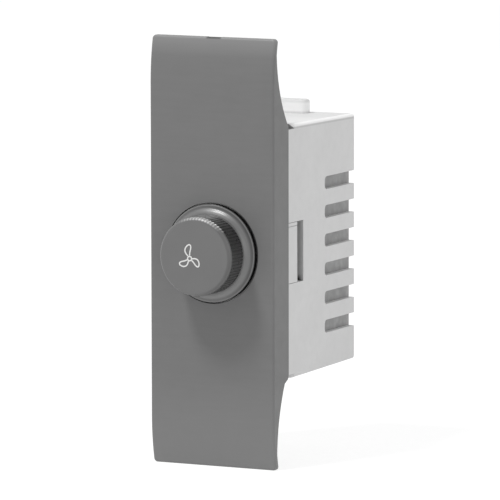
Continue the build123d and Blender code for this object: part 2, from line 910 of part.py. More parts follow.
def make_wiper():
    """Rotor disc on the shaft with two contact fingers."""
    front = pot_front + moving_gap
    rear = front + rotor_height
    finger_end = pot_rear - pot_wall - track_height - moving_gap
    wiper = rod_y(rotor_radius, front, rear)
    wiper -= rod_y(shaft_radius, front - over_cut, rear + over_cut)
    half = finger_size / 2
    for z in (-finger_radius, finger_radius):
        wiper += limits_box(-half, half, rear - wall_overlap, finger_end, z - half, z + half)
    return wiper


def make_switch_cam():
    """Lobed cam on the shaft's tail that opens the supply contacts."""
    cam = rod_y(cam_radius, cam_front, cam_rear)
    lobe_radius = cam_lobe - cam_radius / 2
    cam += rod_y(cam_radius / 2, cam_front, cam_rear, 0, lobe_radius)
    return cam - rod_y(tail_radius, cam_front - over_cut, cam_rear + over_cut)


def make_switch_contacts():
    """Two upright contact blades on the board beside the cam."""
    blades = []
    for i in range(2):
        x = cam_lobe + moving_gap + i * (blade_thickness + blade_space)
        blades.append(limits_box(
            x, x + blade_thickness, cam_front, board_front,
            -blade_length / 2, blade_length / 2,
        ))
    return Compound(blades)


def make_circuit_board():
    """Board across the housing with a hole for every lead."""
    board = limits_box(-board_half, board_half, board_front, board_rear, board_bottom, board_top)
    for x, z, radius in board_holes():
        board -= rod_y(radius, board_front - over_cut, board_rear + over_cut, x, z)
    return board


def board_holes():
    """Place and radius of each hole in the circuit board."""
    pin_hole = math.hypot(pin_width, pin_height) / 2 + lead_gap
    holes = [(x, pin_row, pin_hole) for x in pin_places()]
    triac_hole = math.hypot(triac_lead_width, triac_lead_height) / 2 + lead_gap
    holes += [(x, triac_lead_z(), triac_hole) for x in triac_lead_places()]
    bar_hole = math.hypot(bar_tail_width(), terminal_bar_height) / 2 + lead_gap
    bar_z = terminal_bar_bend - terminal_bar_height / 2
    holes += [(x, bar_z, bar_hole) for x in terminal_places.values()]
    leads = choke_leads() + film_leads() + timing_leads() + fuse_leads()
    leads += axial_leads(resistor_x, resistor_upper_z, resistor_span)
    leads += axial_leads(resistor_x, resistor_lower_z, resistor_span)
    leads += axial_leads(diac_x, diac_z, diac_span)
    holes += [(x, z, lead_radius + lead_gap) for x, z in leads]
    return holes


def make_choke_core():
    """Ring core, held clear of the board by the winding's leads."""
    rear = core_front + core_height
    core = rod_y(core_radius, core_front, rear, 0, choke_place)
    return core - rod_y(core_bore, core_front - over_cut, rear + over_cut, 0, choke_place)


def make_choke_winding():
    """Wound turns round the core, open over its lowest part, with two leads."""
    front = core_front - wire_size
    rear = winding_rear
    outer = core_radius + wire_size
    inner = core_bore - wire_size
    winding = rod_y(outer, front, rear, 0, choke_place)
    winding -= rod_y(inner, front - over_cut, rear + over_cut, 0, choke_place)
    centre = Pos(0, 0, choke_place)
    step = winding_span / winding_turns
    groove = limits_box(-winding_groove / 2, winding_groove / 2,
                        front - over_cut, rear + over_cut, outer - winding_groove, outer + over_cut)
    grooves = [
        centre * Rot(0, -winding_span / 2 + step * i, 0) * groove
        for i in range(1, winding_turns)
    ]
    winding -= grooves
    opening = math.radians(180 - winding_span / 2)
    reach = 2 * outer
    gap = Polyline(
        (0, choke_place),
        (-reach * math.sin(opening), choke_place - reach * math.cos(opening)),
        (reach * math.sin(opening), choke_place - reach * math.cos(opening)),
        close=True,
    )
    plane = Plane(origin=(0, front - over_cut, 0), x_dir=(1, 0, 0), z_dir=(0, -1, 0))
    winding -= extrude(plane * make_face(gap), -(rear - front + 2 * over_cut))
    winding -= rod_y(core_radius, core_front, core_front + core_height, 0, choke_place)
    winding += core_bridge(front, rear)
    for x, z in choke_leads():
        winding += rod_y(lead_radius, board_front - lead_stub, front + wire_size / 2, x, z)
    return winding


def core_bridge(front, rear):
    """Inner run of the turns, inside the core's bore, over the wound span."""
    ring = rod_y(core_bore, front, rear, 0, choke_place)
    ring -= rod_y(core_bore - wire_size, front - over_cut, rear + over_cut, 0, choke_place)
    opening = math.radians(180 - winding_span / 2)
    reach = 2 * core_bore
    side = reach * math.sin(opening)
    down = choke_place - reach * math.cos(opening)
    gap = Polyline((0, choke_place), (-side, down), (side, down), close=True)
    plane = Plane(origin=(0, front - over_cut, 0), x_dir=(1, 0, 0), z_dir=(0, -1, 0))
    return ring - extrude(plane * make_face(gap), -(rear - front + 2 * over_cut))


def choke_leads():
    """Where the choke's two leads pass the board."""
    radius = core_radius - lead_radius
    angle = math.radians(180 - winding_span / 2 + winding_lead_angle)
    x = radius * math.sin(angle)
    z = choke_place - radius * math.cos(angle)
    return [(-x, z), (x, z)]


def make_heat_sink():
    """Folded aluminium plate on two legs."""
    sink = limits_box(-sink_half, sink_half, sink_front, sink_rear, sink_bottom, sink_top)
    for side in (-1, 1):
        sink += limits_box(
            side * sink_half, side * (sink_half - sink_leg_wall), board_rear, sink_rear,
            sink_bottom + sink_leg_bottom_gap, sink_top - sink_leg_top_gap,
        )
    hole_z = triac_place + triac_hole_place
    return sink - rod_y(triac_hole_radius, sink_front - over_cut, sink_rear + over_cut, 0, hole_z)


def triac_lead_places():
    """X places of the triac's three leads."""
    return [-triac_lead_pitch, 0.0, triac_lead_pitch]


def triac_lead_z():
    """Height of the triac's leads where they turn to the board."""
    return triac_place - triac_lead_drop


def make_triac():
    """Moulded body on a metal tab, with three leads bent down to the board."""
    rear = sink_front
    front = rear - triac_height
    half = triac_width / 2
    triac = limits_box(-half, half, front, rear, triac_place, triac_place + triac_length)
    triac += limits_box(-half, half, rear - triac_tab, rear,
                        triac_place, triac_place + triac_tab_length)
    hole_z = triac_place + triac_hole_place
    triac -= rod_y(triac_hole_radius, front - over_cut, rear + over_cut, 0, hole_z)
    middle = (front + rear) / 2
    half_x = triac_lead_width / 2
    half_t = triac_lead_height / 2
    z = triac_lead_z()
    for x in triac_lead_places():
        triac += limits_box(x - half_x, x + half_x, middle - half_t, middle + half_t,
                            z - half_t, triac_place + wall_overlap)
        triac += limits_box(x - half_x, x + half_x, board_front - lead_stub, middle + half_t,
                            z - half_t, z + half_t)
    return triac


def make_heat_sink_screw():
    """Pan-head screw through the heat sink and the triac's tab."""
    z = triac_place + triac_hole_place
    seat = sink_rear
    head = rod_y(sink_screw_head, seat, seat + sink_screw_head_height, 0, z)
    head = fillet(head.edges().group_by(Axis.Y)[-1], sink_screw_head_height * screw_crown_share)
    slot = limits_box(-sink_screw_head, sink_screw_head,
                      seat + sink_screw_head_height / 2, seat + sink_screw_head_height + over_cut,
                      z - screw_slot_width / 2, z + screw_slot_width / 2)
    tip = sink_front - triac_tab - sink_nut_height - moving_gap
    return head + rod_y(sink_screw_radius, tip, seat, 0, z) - slot


def make_heat_sink_nut():
    """Nut on the tab's free side."""
    z = triac_place + triac_hole_place
    rear = sink_front - triac_tab
    nut = hex_y(sink_nut_flats, rear - sink_nut_height, rear, 0, z)
    return nut - rod_y(sink_screw_radius, rear - sink_nut_height - over_cut, rear + over_cut, 0, z)


def film_leads():
    """Where the film capacitor's leads pass the board."""
    reach = film_length / 2 - film_lead_inset
    return [(-reach, film_place), (reach, film_place)]


def make_film_capacitor():
    """Box capacitor standing clear of the board on its leads."""
    half = film_length / 2
    width = film_width / 2
    front = board_rear + stand_off
    body = limits_box(-half, half, front, front + film_height,
                      film_place - width, film_place + width)
    body = fillet(body.edges().filter_by(Axis.Y), film_corner_radius)
    for x, z in film_leads():
        body += rod_y(lead_radius, board_front - lead_stub, front, x, z)
    return body


def timing_leads():
    """Where the timing capacitor's leads pass the board."""
    reach = timing_length / 2 - timing_lead_inset
    return [(timing_x - reach, timing_z), (timing_x + reach, timing_z)]


def make_timing_capacitor():
    """Small box capacitor on the board's front side."""
    half = timing_length / 2
    width = timing_width / 2
    body = limits_box(timing_x - half, timing_x + half,
                      board_front - timing_height, board_front,
                      timing_z - width, timing_z + width)
    body = fillet(body.edges().filter_by(Axis.Y), timing_corner_radius)
    for x, z in timing_leads():
        body += rod_y(lead_radius, board_front, board_rear + lead_tail, x, z)
    return body


def fuse_leads():
    """Where the fuse's leads pass the board."""
    reach = fuse_radius - fuse_lead_inset
    return [(fuse_x - reach, fuse_z), (fuse_x + reach, fuse_z)]


def make_fuse():
    """Round radial fuse on the board's front side."""
    front = board_front - fuse_height
    body = rod_y(fuse_radius, front, board_front, fuse_x, fuse_z)
    body = fillet(body.edges().group_by(Axis.Y)[0], fuse_edge_radius)
    for x, z in fuse_leads():
        body += rod_y(lead_radius, board_front, board_rear + lead_tail, x, z)
    return body


def axial_leads(x, z, span):
    """Where an axial component's leads pass the board."""
    return [(x - span / 2, z), (x + span / 2, z)]


def axial_component(radius, length, span, x, z):
    """Round component lying on the board's front side, its leads bent down."""
    y = board_front - radius
    body = rod_x(radius, x - length / 2, x + length / 2, y, z)
    body = fillet(body.edges(), radius * barrel_round_share)
    body += rod_x(lead_radius, x - span / 2, x + span / 2, y, z)
    for lead_x, lead_z in axial_leads(x, z, span):
        body += Pos(lead_x, y, lead_z) * Sphere(lead_radius)
        body += rod_y(lead_radius, y, board_rear + lead_tail, lead_x, lead_z)
    return body


def bar_tail_width():
    """Width of a contact bar's tail in the board."""
    return terminal_bar_width * bar_tail_share


def make_contact_bar(x):
    """Brass bar through the cage, bent down to the board."""
    half = terminal_bar_width / 2
    tail = bar_tail_width() / 2
    bend = terminal_bar_bend
    inner = bend - terminal_bar_height
    rear = terminal_bar_rear
    bar = limits_box(x - half, x + half, terminal_bar_y, rear, terminal_bar_end, bend)
    bar += limits_box(x - half, x + half, board_rear, rear, inner, bend)
    corner = [
        edge for edge in bar.edges().filter_by(Axis.X)
        if edge.center().Y > rear - pick_slack and edge.center().Z > bend - pick_slack
    ]
    bar = fillet(corner, terminal_bar_height * outer_corner_share)
    return bar + limits_box(x - tail, x + tail, board_front - lead_stub, board_rear, inner, bend)


def make_clamp_cage(x):
    """Square ring round the contact bar, threaded for the terminal screw."""
    half = cage_width / 2
    z0 = terminal_screw_z - cage_length / 2
    z1 = terminal_screw_z + cage_length / 2
    cage = limits_box(x - half, x + half, cage_front, cage_rear, z0, z1)
    cage = fillet(cage.edges().filter_by(Axis.Z), cage_wall * outer_corner_share)
    inner = half - cage_wall
    cage -= limits_box(x - inner, x + inner, cage_front + cage_floor, cage_window_rear,
                       z0 - over_cut, z1 + over_cut)
    thread = rod_y(screw_radius + running_gap, cage_window_rear - over_cut, cage_rear + over_cut,
                   x, terminal_screw_z)
    return cage - thread


def make_terminal_screw(x):
    """Captive slotted screw that turns in place and draws the cage along."""
    z = terminal_screw_z
    tip = terminal_bar_rear + screw_tip_gap
    front = screw_head_front
    rear = front + screw_head_height
    head = rod_y(screw_head_radius, front, rear, x, z)
    head = chamfer(head.edges().group_by(Axis.Y)[-1], moving_gap)
    shank = rod_y(screw_radius, tip, front, x, z)
    shank = chamfer(shank.edges().group_by(Axis.Y)[0], moving_gap)
    slot = limits_box(x - screw_head_radius - over_cut, x + screw_head_radius + over_cut,
                      rear - screw_slot_depth, rear + over_cut,
                      z - screw_slot_width / 2, z + screw_slot_width / 2)
    return head + shank - slot


def make_parts():
    """Every sub-part by its node's name."""
    parts = {
        "front_plate": make_front_plate(),
        "knob": make_knob(),
        "front_frame": make_front_frame(),
        "housing_shell": make_housing_shell(),
        "rear_cover": make_rear_cover(),
        "pot_bushing": make_pot_bushing(),
        "pot_washer": make_pot_washer(),
        "pot_nut": make_pot_nut(),
        "pot_case": make_pot_case(),
        "resistive_track": make_resistive_track(),
        "pot_pins": make_pot_pins(),
        "knob_shaft": make_knob_shaft(),
        "shaft_clip": make_shaft_clip(),
        "wiper": make_wiper(),
        "switch_cam": make_switch_cam(),
        "switch_contacts": make_switch_contacts(),
        "circuit_board": make_circuit_board(),
        "choke_core": make_choke_core(),
        "choke_winding": make_choke_winding(),
        "heat_sink": make_heat_sink(),
        "triac": make_triac(),
        "heat_sink_screw": make_heat_sink_screw(),
        "heat_sink_nut": make_heat_sink_nut(),
        "film_capacitor": make_film_capacitor(),
        "timing_capacitor": make_timing_capacitor(),
        "fuse": make_fuse(),
        "resistor_upper": axial_component(
            resistor_radius, resistor_length, resistor_span, resistor_x, resistor_upper_z),
        "resistor_lower": axial_component(
            resistor_radius, resistor_length, resistor_span, resistor_x, resistor_lower_z),
        "diac": axial_component(diac_radius, diac_length, diac_span, diac_x, diac_z),
    }
    for place, x in terminal_places.items():
        parts["terminal_screw_" + place] = make_terminal_screw(x)
        parts["clamp_cage_" + place] = make_clamp_cage(x)
        parts["contact_bar_" + place] = make_contact_bar(x)
    return parts


os.makedirs("parts", exist_ok=True)
for name, shape in make_parts().items():
    export_step(shape, os.path.join("parts", name + ".step"))
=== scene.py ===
import json
import math

import bmesh
import bpy
from mathutils import Matrix, Vector


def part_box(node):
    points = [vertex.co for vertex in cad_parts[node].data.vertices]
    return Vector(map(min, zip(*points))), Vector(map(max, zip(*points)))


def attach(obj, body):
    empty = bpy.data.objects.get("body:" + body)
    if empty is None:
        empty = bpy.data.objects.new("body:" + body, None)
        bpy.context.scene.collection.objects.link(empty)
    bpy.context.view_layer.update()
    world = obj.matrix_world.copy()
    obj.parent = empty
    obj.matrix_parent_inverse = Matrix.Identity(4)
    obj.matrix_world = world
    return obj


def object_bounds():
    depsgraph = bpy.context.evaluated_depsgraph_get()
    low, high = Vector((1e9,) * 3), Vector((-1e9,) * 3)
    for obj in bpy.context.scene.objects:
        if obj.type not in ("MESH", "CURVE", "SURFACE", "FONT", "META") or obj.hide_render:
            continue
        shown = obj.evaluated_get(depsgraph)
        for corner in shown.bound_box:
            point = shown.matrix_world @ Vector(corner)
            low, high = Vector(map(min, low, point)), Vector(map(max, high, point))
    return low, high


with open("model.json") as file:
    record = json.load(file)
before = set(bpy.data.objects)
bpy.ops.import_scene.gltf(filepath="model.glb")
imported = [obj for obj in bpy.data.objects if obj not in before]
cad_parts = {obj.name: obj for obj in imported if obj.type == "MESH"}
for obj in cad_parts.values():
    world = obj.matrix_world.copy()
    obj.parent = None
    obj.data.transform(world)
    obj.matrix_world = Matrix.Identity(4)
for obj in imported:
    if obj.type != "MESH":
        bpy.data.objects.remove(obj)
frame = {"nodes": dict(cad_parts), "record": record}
cad_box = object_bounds()

MM = 0.001

# Camera, fitted to the edges of the photograph.
PHOTO_PIXELS = 500
FOCAL_PIXELS = 5958.6
SENSOR_MM = 36.0
CAMERA_DISTANCE = 0.9705
CAMERA_AZIMUTH = 26.906
CAMERA_ELEVATION = 7.018
CAMERA_ROLL = -0.15
SHIFT_RIGHT_PIXELS = 38.47
SHIFT_UP_PIXELS = 3.2
NEAREST_SEEN = 0.05
FARTHEST_SEEN = 20.0


def direction(azimuth, elevation):
    """Unit vector from the object towards a place at this azimuth and elevation, in degrees."""
    a = math.radians(azimuth)
    e = math.radians(elevation)
    return Vector((math.sin(a) * math.cos(e), -math.cos(a) * math.cos(e), math.sin(e)))


def make_camera():
    data = bpy.data.cameras.new("camera")
    data.sensor_width = SENSOR_MM
    data.lens = FOCAL_PIXELS / PHOTO_PIXELS * SENSOR_MM
    data.shift_x = SHIFT_RIGHT_PIXELS / PHOTO_PIXELS
    data.shift_y = SHIFT_UP_PIXELS / PHOTO_PIXELS
    data.clip_start = NEAREST_SEEN
    data.clip_end = FARTHEST_SEEN
    camera = bpy.data.objects.new("camera", data)
    bpy.context.scene.collection.objects.link(camera)
    back = direction(CAMERA_AZIMUTH, CAMERA_ELEVATION)
    roll = Matrix.Rotation(math.radians(CAMERA_ROLL), 3, "Z")
    turn = (-back).to_track_quat("-Z", "Y").to_matrix() @ roll
    camera.matrix_world = Matrix.Translation(back * CAMERA_DISTANCE) @ turn.to_4x4()
    bpy.context.scene.camera = camera


class Nodes:
    """A material's node tree, with short calls for the nodes that the finishes below share."""

    def __init__(self, name):
        self.material = bpy.data.materials.new(name)
        self.material.use_nodes = True
        self.tree = self.material.node_tree
        self.tree.nodes.clear()
        self.shader = self.add("ShaderNodeBsdfPrincipled")
        self.output = self.add("ShaderNodeOutputMaterial")
        self.link(self.shader.outputs["BSDF"], self.output.inputs["Surface"])
        self.place = self.add("ShaderNodeTexCoord").outputs["Object"]

    def add(self, kind, **settings):
        node = self.tree.nodes.new(kind)
        for key, value in settings.items():
            setattr(node, key, value)
        return node

    def link(self, source, target):
        self.tree.links.new(source, target)

    def put(self, target, value):
        """Feeds an input from a socket, or sets it to a constant."""
        if isinstance(value, bpy.types.NodeSocket):
            self.link(value, target)
        else:
            target.default_value = value

    def scaled(self, x, y, z):
        node = self.add("ShaderNodeMapping")
        self.link(self.place, node.inputs["Vector"])
        node.inputs["Scale"].default_value = (x, y, z)
        return node.outputs["Vector"]

    def noise(self, size_mm, detail=2.0, rough=0.5, vector=None):
        """Noise from 0 to 1 whose lumps are about size_mm across."""
        node = self.add("ShaderNodeTexNoise")
        self.link(vector or self.place, node.inputs["Vector"])
        node.inputs["Scale"].default_value = 1.0 / (size_mm * MM)
        node.inputs["Detail"].default_value = detail
        node.inputs["Roughness"].default_value = rough
        return node.outputs["Fac"]

    def cells(self, size_mm):
        """Distance from the middle of cells that are about size_mm across."""
        node = self.add("ShaderNodeTexVoronoi")
        self.link(self.place, node.inputs["Vector"])
        node.inputs["Scale"].default_value = 1.0 / (size_mm * MM)
        return node.outputs["Distance"]

    def remap(self, value, low, high, to_low, to_high, easing="LINEAR"):
        node = self.add("ShaderNodeMapRange", interpolation_type=easing)
        self.link(value, node.inputs["Value"])
        node.inputs["From Min"].default_value = low
        node.inputs["From Max"].default_value = high
        node.inputs["To Min"].default_value = to_low
        node.inputs["To Max"].default_value = to_high
        return node.outputs["Result"]

    def maths(self, operation, a, b=None):
        node = self.add("ShaderNodeMath", operation=operation)
        self.put(node.inputs[0], a)
        if b is not None:
            self.put(node.inputs[1], b)
        return node.outputs[0]

    def mix(self, share, a, b):
        """Colour a where share is 0 and b where it is 1."""
        node = self.add("ShaderNodeMix", data_type="RGBA")
        self.put(node.inputs[0], share)
        self.put(node.inputs[6], a if isinstance(a, bpy.types.NodeSocket) else (*a, 1.0))
        self.put(node.inputs[7], b if isinstance(b, bpy.types.NodeSocket) else (*b, 1.0))
        return node.outputs[2]

    def bumps(self, *layers):
        """Stacks (height, depth in mm) layers of bump on the shader's normal."""
        normal = None
        for height, depth_mm in layers:
            node = self.add("ShaderNodeBump")
            node.inputs["Distance"].default_value = depth_mm * MM
            self.link(height, node.inputs["Height"])
            if normal is not None:
                self.link(normal, node.inputs["Normal"])
            normal = node.outputs["Normal"]
        self.link(normal, self.shader.inputs["Normal"])

    def finish(self, colour, roughness, metallic=0.0, specular=0.5):
        self.put(self.shader.inputs["Base Color"], colour)
        self.put(self.shader.inputs["Roughness"], roughness)
        self.shader.inputs["Metallic"].default_value = metallic
        self.put(self.shader.inputs["Specular IOR Level"], specular)
        return self.material


def shade(colour, factor):
    return tuple(min(1.0, c * factor) for c in colour)


def axes(n):
    """X, Y and Z of the shaded point in its object's own space, as sockets in metres."""
    parts = n.add("ShaderNodeSeparateXYZ")
    n.link(n.place, parts.inputs[0])
    return parts.outputs[0], parts.outputs[1], parts.outputs[2]


def from_axis(n, x, z):
    """Distance from the knob's axis as a socket in metres."""
    return n.maths("SQRT", n.maths("ADD", n.maths("MULTIPLY", x, x), n.maths("MULTIPLY", z, z)))


def ramp(n, value, low_mm, high_mm, low=0.0, high=1.0):
    """Remaps a length, with its limits given in mm."""
    return n.remap(value, low_mm * MM, high_mm * MM, low, high)


def toned(n, share, before, colour, factor):
    """The colour so far, and where share is 1 the plastic's own colour times this factor."""
    return n.mix(share, before, shade(colour, factor))


def both(n, *shares):
    """Product of shares, 1 only where all of them are."""
    product = shares[0]
    for share in shares[1:]:
        product = n.maths("MULTIPLY", product, share)
    return product


def towards(n, x, z, radius, angle):
    """Cosine of the angle between the point's side of the axis and this clock angle from +X."""
    a = math.radians(angle)
    along = n.maths("ADD", n.maths("MULTIPLY", x, math.cos(a)), n.maths("MULTIPLY", z, math.sin(a)))
    return n.maths("DIVIDE", along, radius)


# The plastics that the photograph shows.
#
# A noise is given by its size in mm, detail and roughness. A pair of lengths, in mm, says where a shade
# is at none and where at full, along an axis or out from the knob's axis. A TINT is a factor of
# the plastic's own grey, a SIDE a clock angle in degrees from +X, and a FACING pair the cosine to that
# side at none and at full. Many of these shades are painted light, shade and highlights, each marked
# as such below; their factors too are factors of the plastic's own grey.

PLATE_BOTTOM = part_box("front_plate")[0].z / MM
PLATE_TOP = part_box("front_plate")[1].z / MM
KNOB_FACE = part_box("knob")[0].y / MM
SKIRT_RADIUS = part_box("knob")[1].x / MM
HOLE_RADIUS = SKIRT_RADIUS + 0.25
KNOB_RADIUS = SKIRT_RADIUS - 1.60
SLEEVE_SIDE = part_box("housing_shell")[1].x / MM
SLEEVE_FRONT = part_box("housing_shell")[0].y / MM
SLEEVE_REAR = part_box("housing_shell")[1].y / MM


def near(place, first, second):
    """A pair of lengths from one place of the frame."""
    return place + first, place + second


FINE_GRAIN = (0.16, 3.0, 0.6)
CLOUDS = (6.0, 3.0, 0.55)
KNOB_CLOUDS = (5.0, 3.0, 0.55)
STREAKS = (0.9, 3.0, 0.6)
GLOSS_PATCHES = (2.2, 2.0)
WAVES = (3.5, 1.0)
NOISE_SPAN = (0.3, 0.7)
CLOUD_TINTS = (0.975, 1.025)
GRAIN_SPAN = (0.35, 0.75)
GRAIN_SHARE = 0.10
GRAIN_TINT = 0.86

COVER_GRAIN_DEPTH = 0.005
COVER_WAVE_DEPTH = 0.012
COVER_GLOSS = (0.43, 0.50)
COVER_STREAK_STRETCH = (0.12, 1.0, 1.0)
COVER_STREAK_SPAN = (0.35, 0.65)
COVER_STREAK_SHARE = 0.30
COVER_STREAK_TINT = 1.12
# Painted light on the cover's curled top and bottom ends.
CURL_TOP = near(PLATE_TOP, -3.25, 0.05)
CURL_TOP_PAINTED_LIGHT = 1.42
CURL_BOTTOM = near(PLATE_BOTTOM, 15.25, -0.25)
CURL_BOTTOM_PAINTED_LIGHT = 1.32
# Painted shade on the wall and edge of the knob's hole, strongest on its shaded side, and in the pry
# notch.
HOLE_SHADED_SIDE = 14.0
HOLE_WALL_RADIUS = near(HOLE_RADIUS, 0.15, 0.05)
HOLE_WALL_BEHIND_FACE = (0.02, 0.12)
HOLE_EDGE_RADIUS = near(HOLE_RADIUS, 0.22, 0.14)
HOLE_EDGE_FACING = (0.30, 0.85)
NOTCH_HALF_WIDTH = (1.5, 1.1)
NOTCH_FLOOR = near(PLATE_TOP, -0.35, -0.2)
NOTCH_SHARE = 0.85
GAP_PAINTED_SHADE = 0.08
GAP_FACING = (-0.6, 0.3)
GAP_LEAST_SHARE = 0.6

KNOB_GRAIN_DEPTH = 0.004
KNOB_WAVE_DEPTH = 0.008
KNOB_GLOSS = (0.36, 0.42)
KNOB_FLUTES = 72.0
# Painted shade on the knob's side away from the key light: on its rounded front edge and its flutes.
SHADED_SIDE = -8.0
SHADED_FACING = (0.05, 0.60)
FACE_END_RADIUS = near(KNOB_RADIUS, -0.45, -0.35)
FLANK_END_RADIUS = near(KNOB_RADIUS, 0.33, 0.05)
FLANK_REAR = (-0.95, -1.30)
FLANK_FRONT = near(KNOB_FACE, 0.64, 0.84)
# Painted shade on the flutes, less on their lower side.
FLANK_PAINTED_SHADE = 0.24
FLANK_LEAST_SHARE = 0.10
FLANK_LOW_SIDE = -60.0
FLANK_LOW_FACING = (0.15, 0.65)
FLANK_LOW_SHARE = 0.70
# Painted light on the top of the flutes.
LIT_FLANK_FRONT = near(KNOB_FACE, 0.94, 1.14)
LIT_FLANK_SIDE = 90.0
LIT_FLANK_FACING = (0.94, 0.985)
LIT_FLANK_PAINTED_LIGHT = 2.0
# Painted shade on the rounded front edge, on the shaded side.
ROUND_EDGE_RADIUS = near(KNOB_RADIUS, -0.7, -0.45)
ROUND_EDGE_REAR = near(KNOB_FACE, 0.84, 0.64)
ROUND_EDGE_SHARE = 0.45
ROUND_EDGE_PAINTED_SHADE = 0.45
# The side where the painted glints and highlights sit.
LIT_SIDE = 82.0
RIDGE_SPAN = (0.5, -0.4)
RIDGE_LEAST_SHARE = 0.15
# Painted glints on the ends of the ridges.
RIDGE_END_RADIUS = near(KNOB_RADIUS, -0.2, -0.12)
RIDGE_END_FRONT = near(KNOB_FACE, 0.29, 0.44)
RIDGE_END_REAR = near(KNOB_FACE, 1.04, 0.84)
RIDGE_END_FACING = (0.72, 0.92)
RIDGE_END_PAINTED_GLINT = 6.0
# Painted highlight on the rim at the top.
RIM_RADIUS = near(KNOB_RADIUS, -0.45, -0.3)
RIM_REAR = near(KNOB_FACE, 0.59, 0.44)
RIM_FACING = (0.80, 0.98)
RIM_LEAST_SHARE = 0.2
RIM_PAINTED_HIGHLIGHT = 3.0
SKIRT_FRONT = (-1.45, -1.25)
# Painted shade on the skirt's side away from the light.
SKIRT_SHADED_SIDE = 40.0
SKIRT_SHADED_FACING = (-0.4, 1.0)
SKIRT_TINT = 0.95
SKIRT_PAINTED_SHADE = 0.42
# A painted highlight line round the skirt's outer edge.
SKIRT_LINE_START = near(SKIRT_RADIUS, -0.25, -0.17)
SKIRT_LINE_END = near(SKIRT_RADIUS, -0.05, -0.11)
SKIRT_LINE_SHARE = 0.55
SKIRT_LINE_PAINTED_HIGHLIGHT = 1.8
# Painted shade on the skirt's wall in the gap to the cover.
SKIRT_WALL_RADIUS = near(SKIRT_RADIUS, -0.03, -0.01)
SKIRT_WALL_FRONT = (-0.37, -0.32)
SKIRT_WALL_PAINTED_SHADE = 0.04
COVE_RADIUS = near(SKIRT_RADIUS, -0.45, -0.85)
COVE_SPECULAR = 0.5
FLANK_GLOSS = 0.10
DISH_START = SKIRT_RADIUS - 1.45
DISH_END = SKIRT_RADIUS - 0.55
DISH_DEPTH = 0.30

SLEEVE_GRAIN_DEPTH = 0.006
SLEEVE_WAVE_DEPTH = 0.012
SLEEVE_GLOSS = (0.48, 0.55)
SLEEVE_BLOTCHES = (1.4, 4.0, 0.65)
SLEEVE_BLOTCH_SPAN = (0.45, 0.75)
SLEEVE_BLOTCH_SHARE = 0.35
SLEEVE_BLOTCH_TINT = 0.90
SLEEVE_TOP_AT_FRONT, SLEEVE_TOP_AT_REAR = 20.93, 20.55
# Painted light on the lugs.
LUG_FOOT = (20.7, 21.1)
LUG_TOP = (22.7, 22.3)
LUG_PAINTED_LIGHT = 1.40
# Painted light on the top face near the front.
TOP_FACE = (20.2, 20.4)
TOP_FACE_NEAR_FRONT = near(SLEEVE_FRONT, 20.4, 6.4)
TOP_FACE_PAINTED_LIGHT = 1.16
UPPER_HALF = (0.0, 1.0)
# Painted highlight along the long top edges.
LONG_EDGE = near(SLEEVE_SIDE, -0.71, -0.41)
EDGE_BAND_END = (0.50, 0.42)
EDGE_BAND_PAINTED_HIGHLIGHT = 1.40
# A painted shade line below the painted highlight.
EDGE_LINE_START = (0.50, 0.60)
EDGE_LINE_END = (0.90, 0.72)
EDGE_LINE_SIDE = near(SLEEVE_SIDE, -0.11, -0.03)
EDGE_LINE_SHARE = 0.45
EDGE_LINE_PAINTED_SHADE = 0.60
# Painted shade at the cuts at the upper front corners.
CUT_FRONT = SLEEVE_FRONT + 2.1
CUT_REAR = SLEEVE_FRONT + 2.9
CUT_HEIGHT = 0.80
CUT_FLOOR = 20.16
CUT_SLOPE = (-0.02, 0.12)
CUT_ABOVE = (20.08, 20.16)
CUT_BEFORE = near(SLEEVE_FRONT, 2.85, 2.7)
CUT_SIDE = (8.2, 8.4)
CUT_PAINTED_SHADE = 0.26
# Painted shade on the rear wall in the latch windows, deepest at its foot.
WINDOW_FRONT = near(SLEEVE_FRONT, 5.7, 6.0)
WINDOW_REAR = near(SLEEVE_FRONT, 6.25, 6.2)
WINDOW_SIDE = near(SLEEVE_SIDE, -0.02, -0.11)
WINDOW_HALF_HEIGHT = (5.6, 5.4)
WINDOW_DEPTH = near(SLEEVE_SIDE, -0.01, -1.01)
WINDOW_SHARES = (0.35, 0.75)
WINDOW_PAINTED_SHADE = 0.30
WINDOW_FOOT = (-4.2, -4.9)
WINDOW_FOOT_SIDE = near(SLEEVE_SIDE, -0.21, -0.91)
WINDOW_FOOT_PAINTED_SHADE = 0.03

INNER_GRAIN_DEPTH = 0.008
INNER_BLOTCH_DEPTH = 0.02
INNER_GLOSS = (0.55, 0.66)
INNER_BLOTCHES = (1.7, 4.0, 0.6)
INNER_BLOTCH_SPAN = (0.35, 0.68)
INNER_BLOTCH_SHARE = 0.8
INNER_BLOTCH_TINT = 0.72
INNER_STREAK_STRETCH = (1.0, 1.0, 0.45)
INNER_STREAK_SPAN = (0.42, 0.72)
INNER_STREAK_SHARE = 0.6
INNER_STREAK_TINT = 0.70
REAR_FACE = near(SLEEVE_REAR, -0.3, -0.1)
REAR_FACE_SHARE = 0.85
REAR_FACE_TINTS = (0.97, 1.06)


def plastic_tint(n, colour, fine, cloud):
    """The plastic's colour with faint clouds and its grain."""
    low, high = CLOUD_TINTS
    clouded = n.mix(n.remap(cloud, *NOISE_SPAN, 0.0, 1.0), shade(colour, low), shade(colour, high))
    return toned(n, n.remap(fine, *GRAIN_SPAN, 0.0, GRAIN_SHARE), clouded, colour, GRAIN_TINT)


def patchy_gloss(n, low, high):
    """Roughness that wanders between two values."""
    return n.remap(n.noise(*GLOSS_PATCHES), *NOISE_SPAN, low, high)


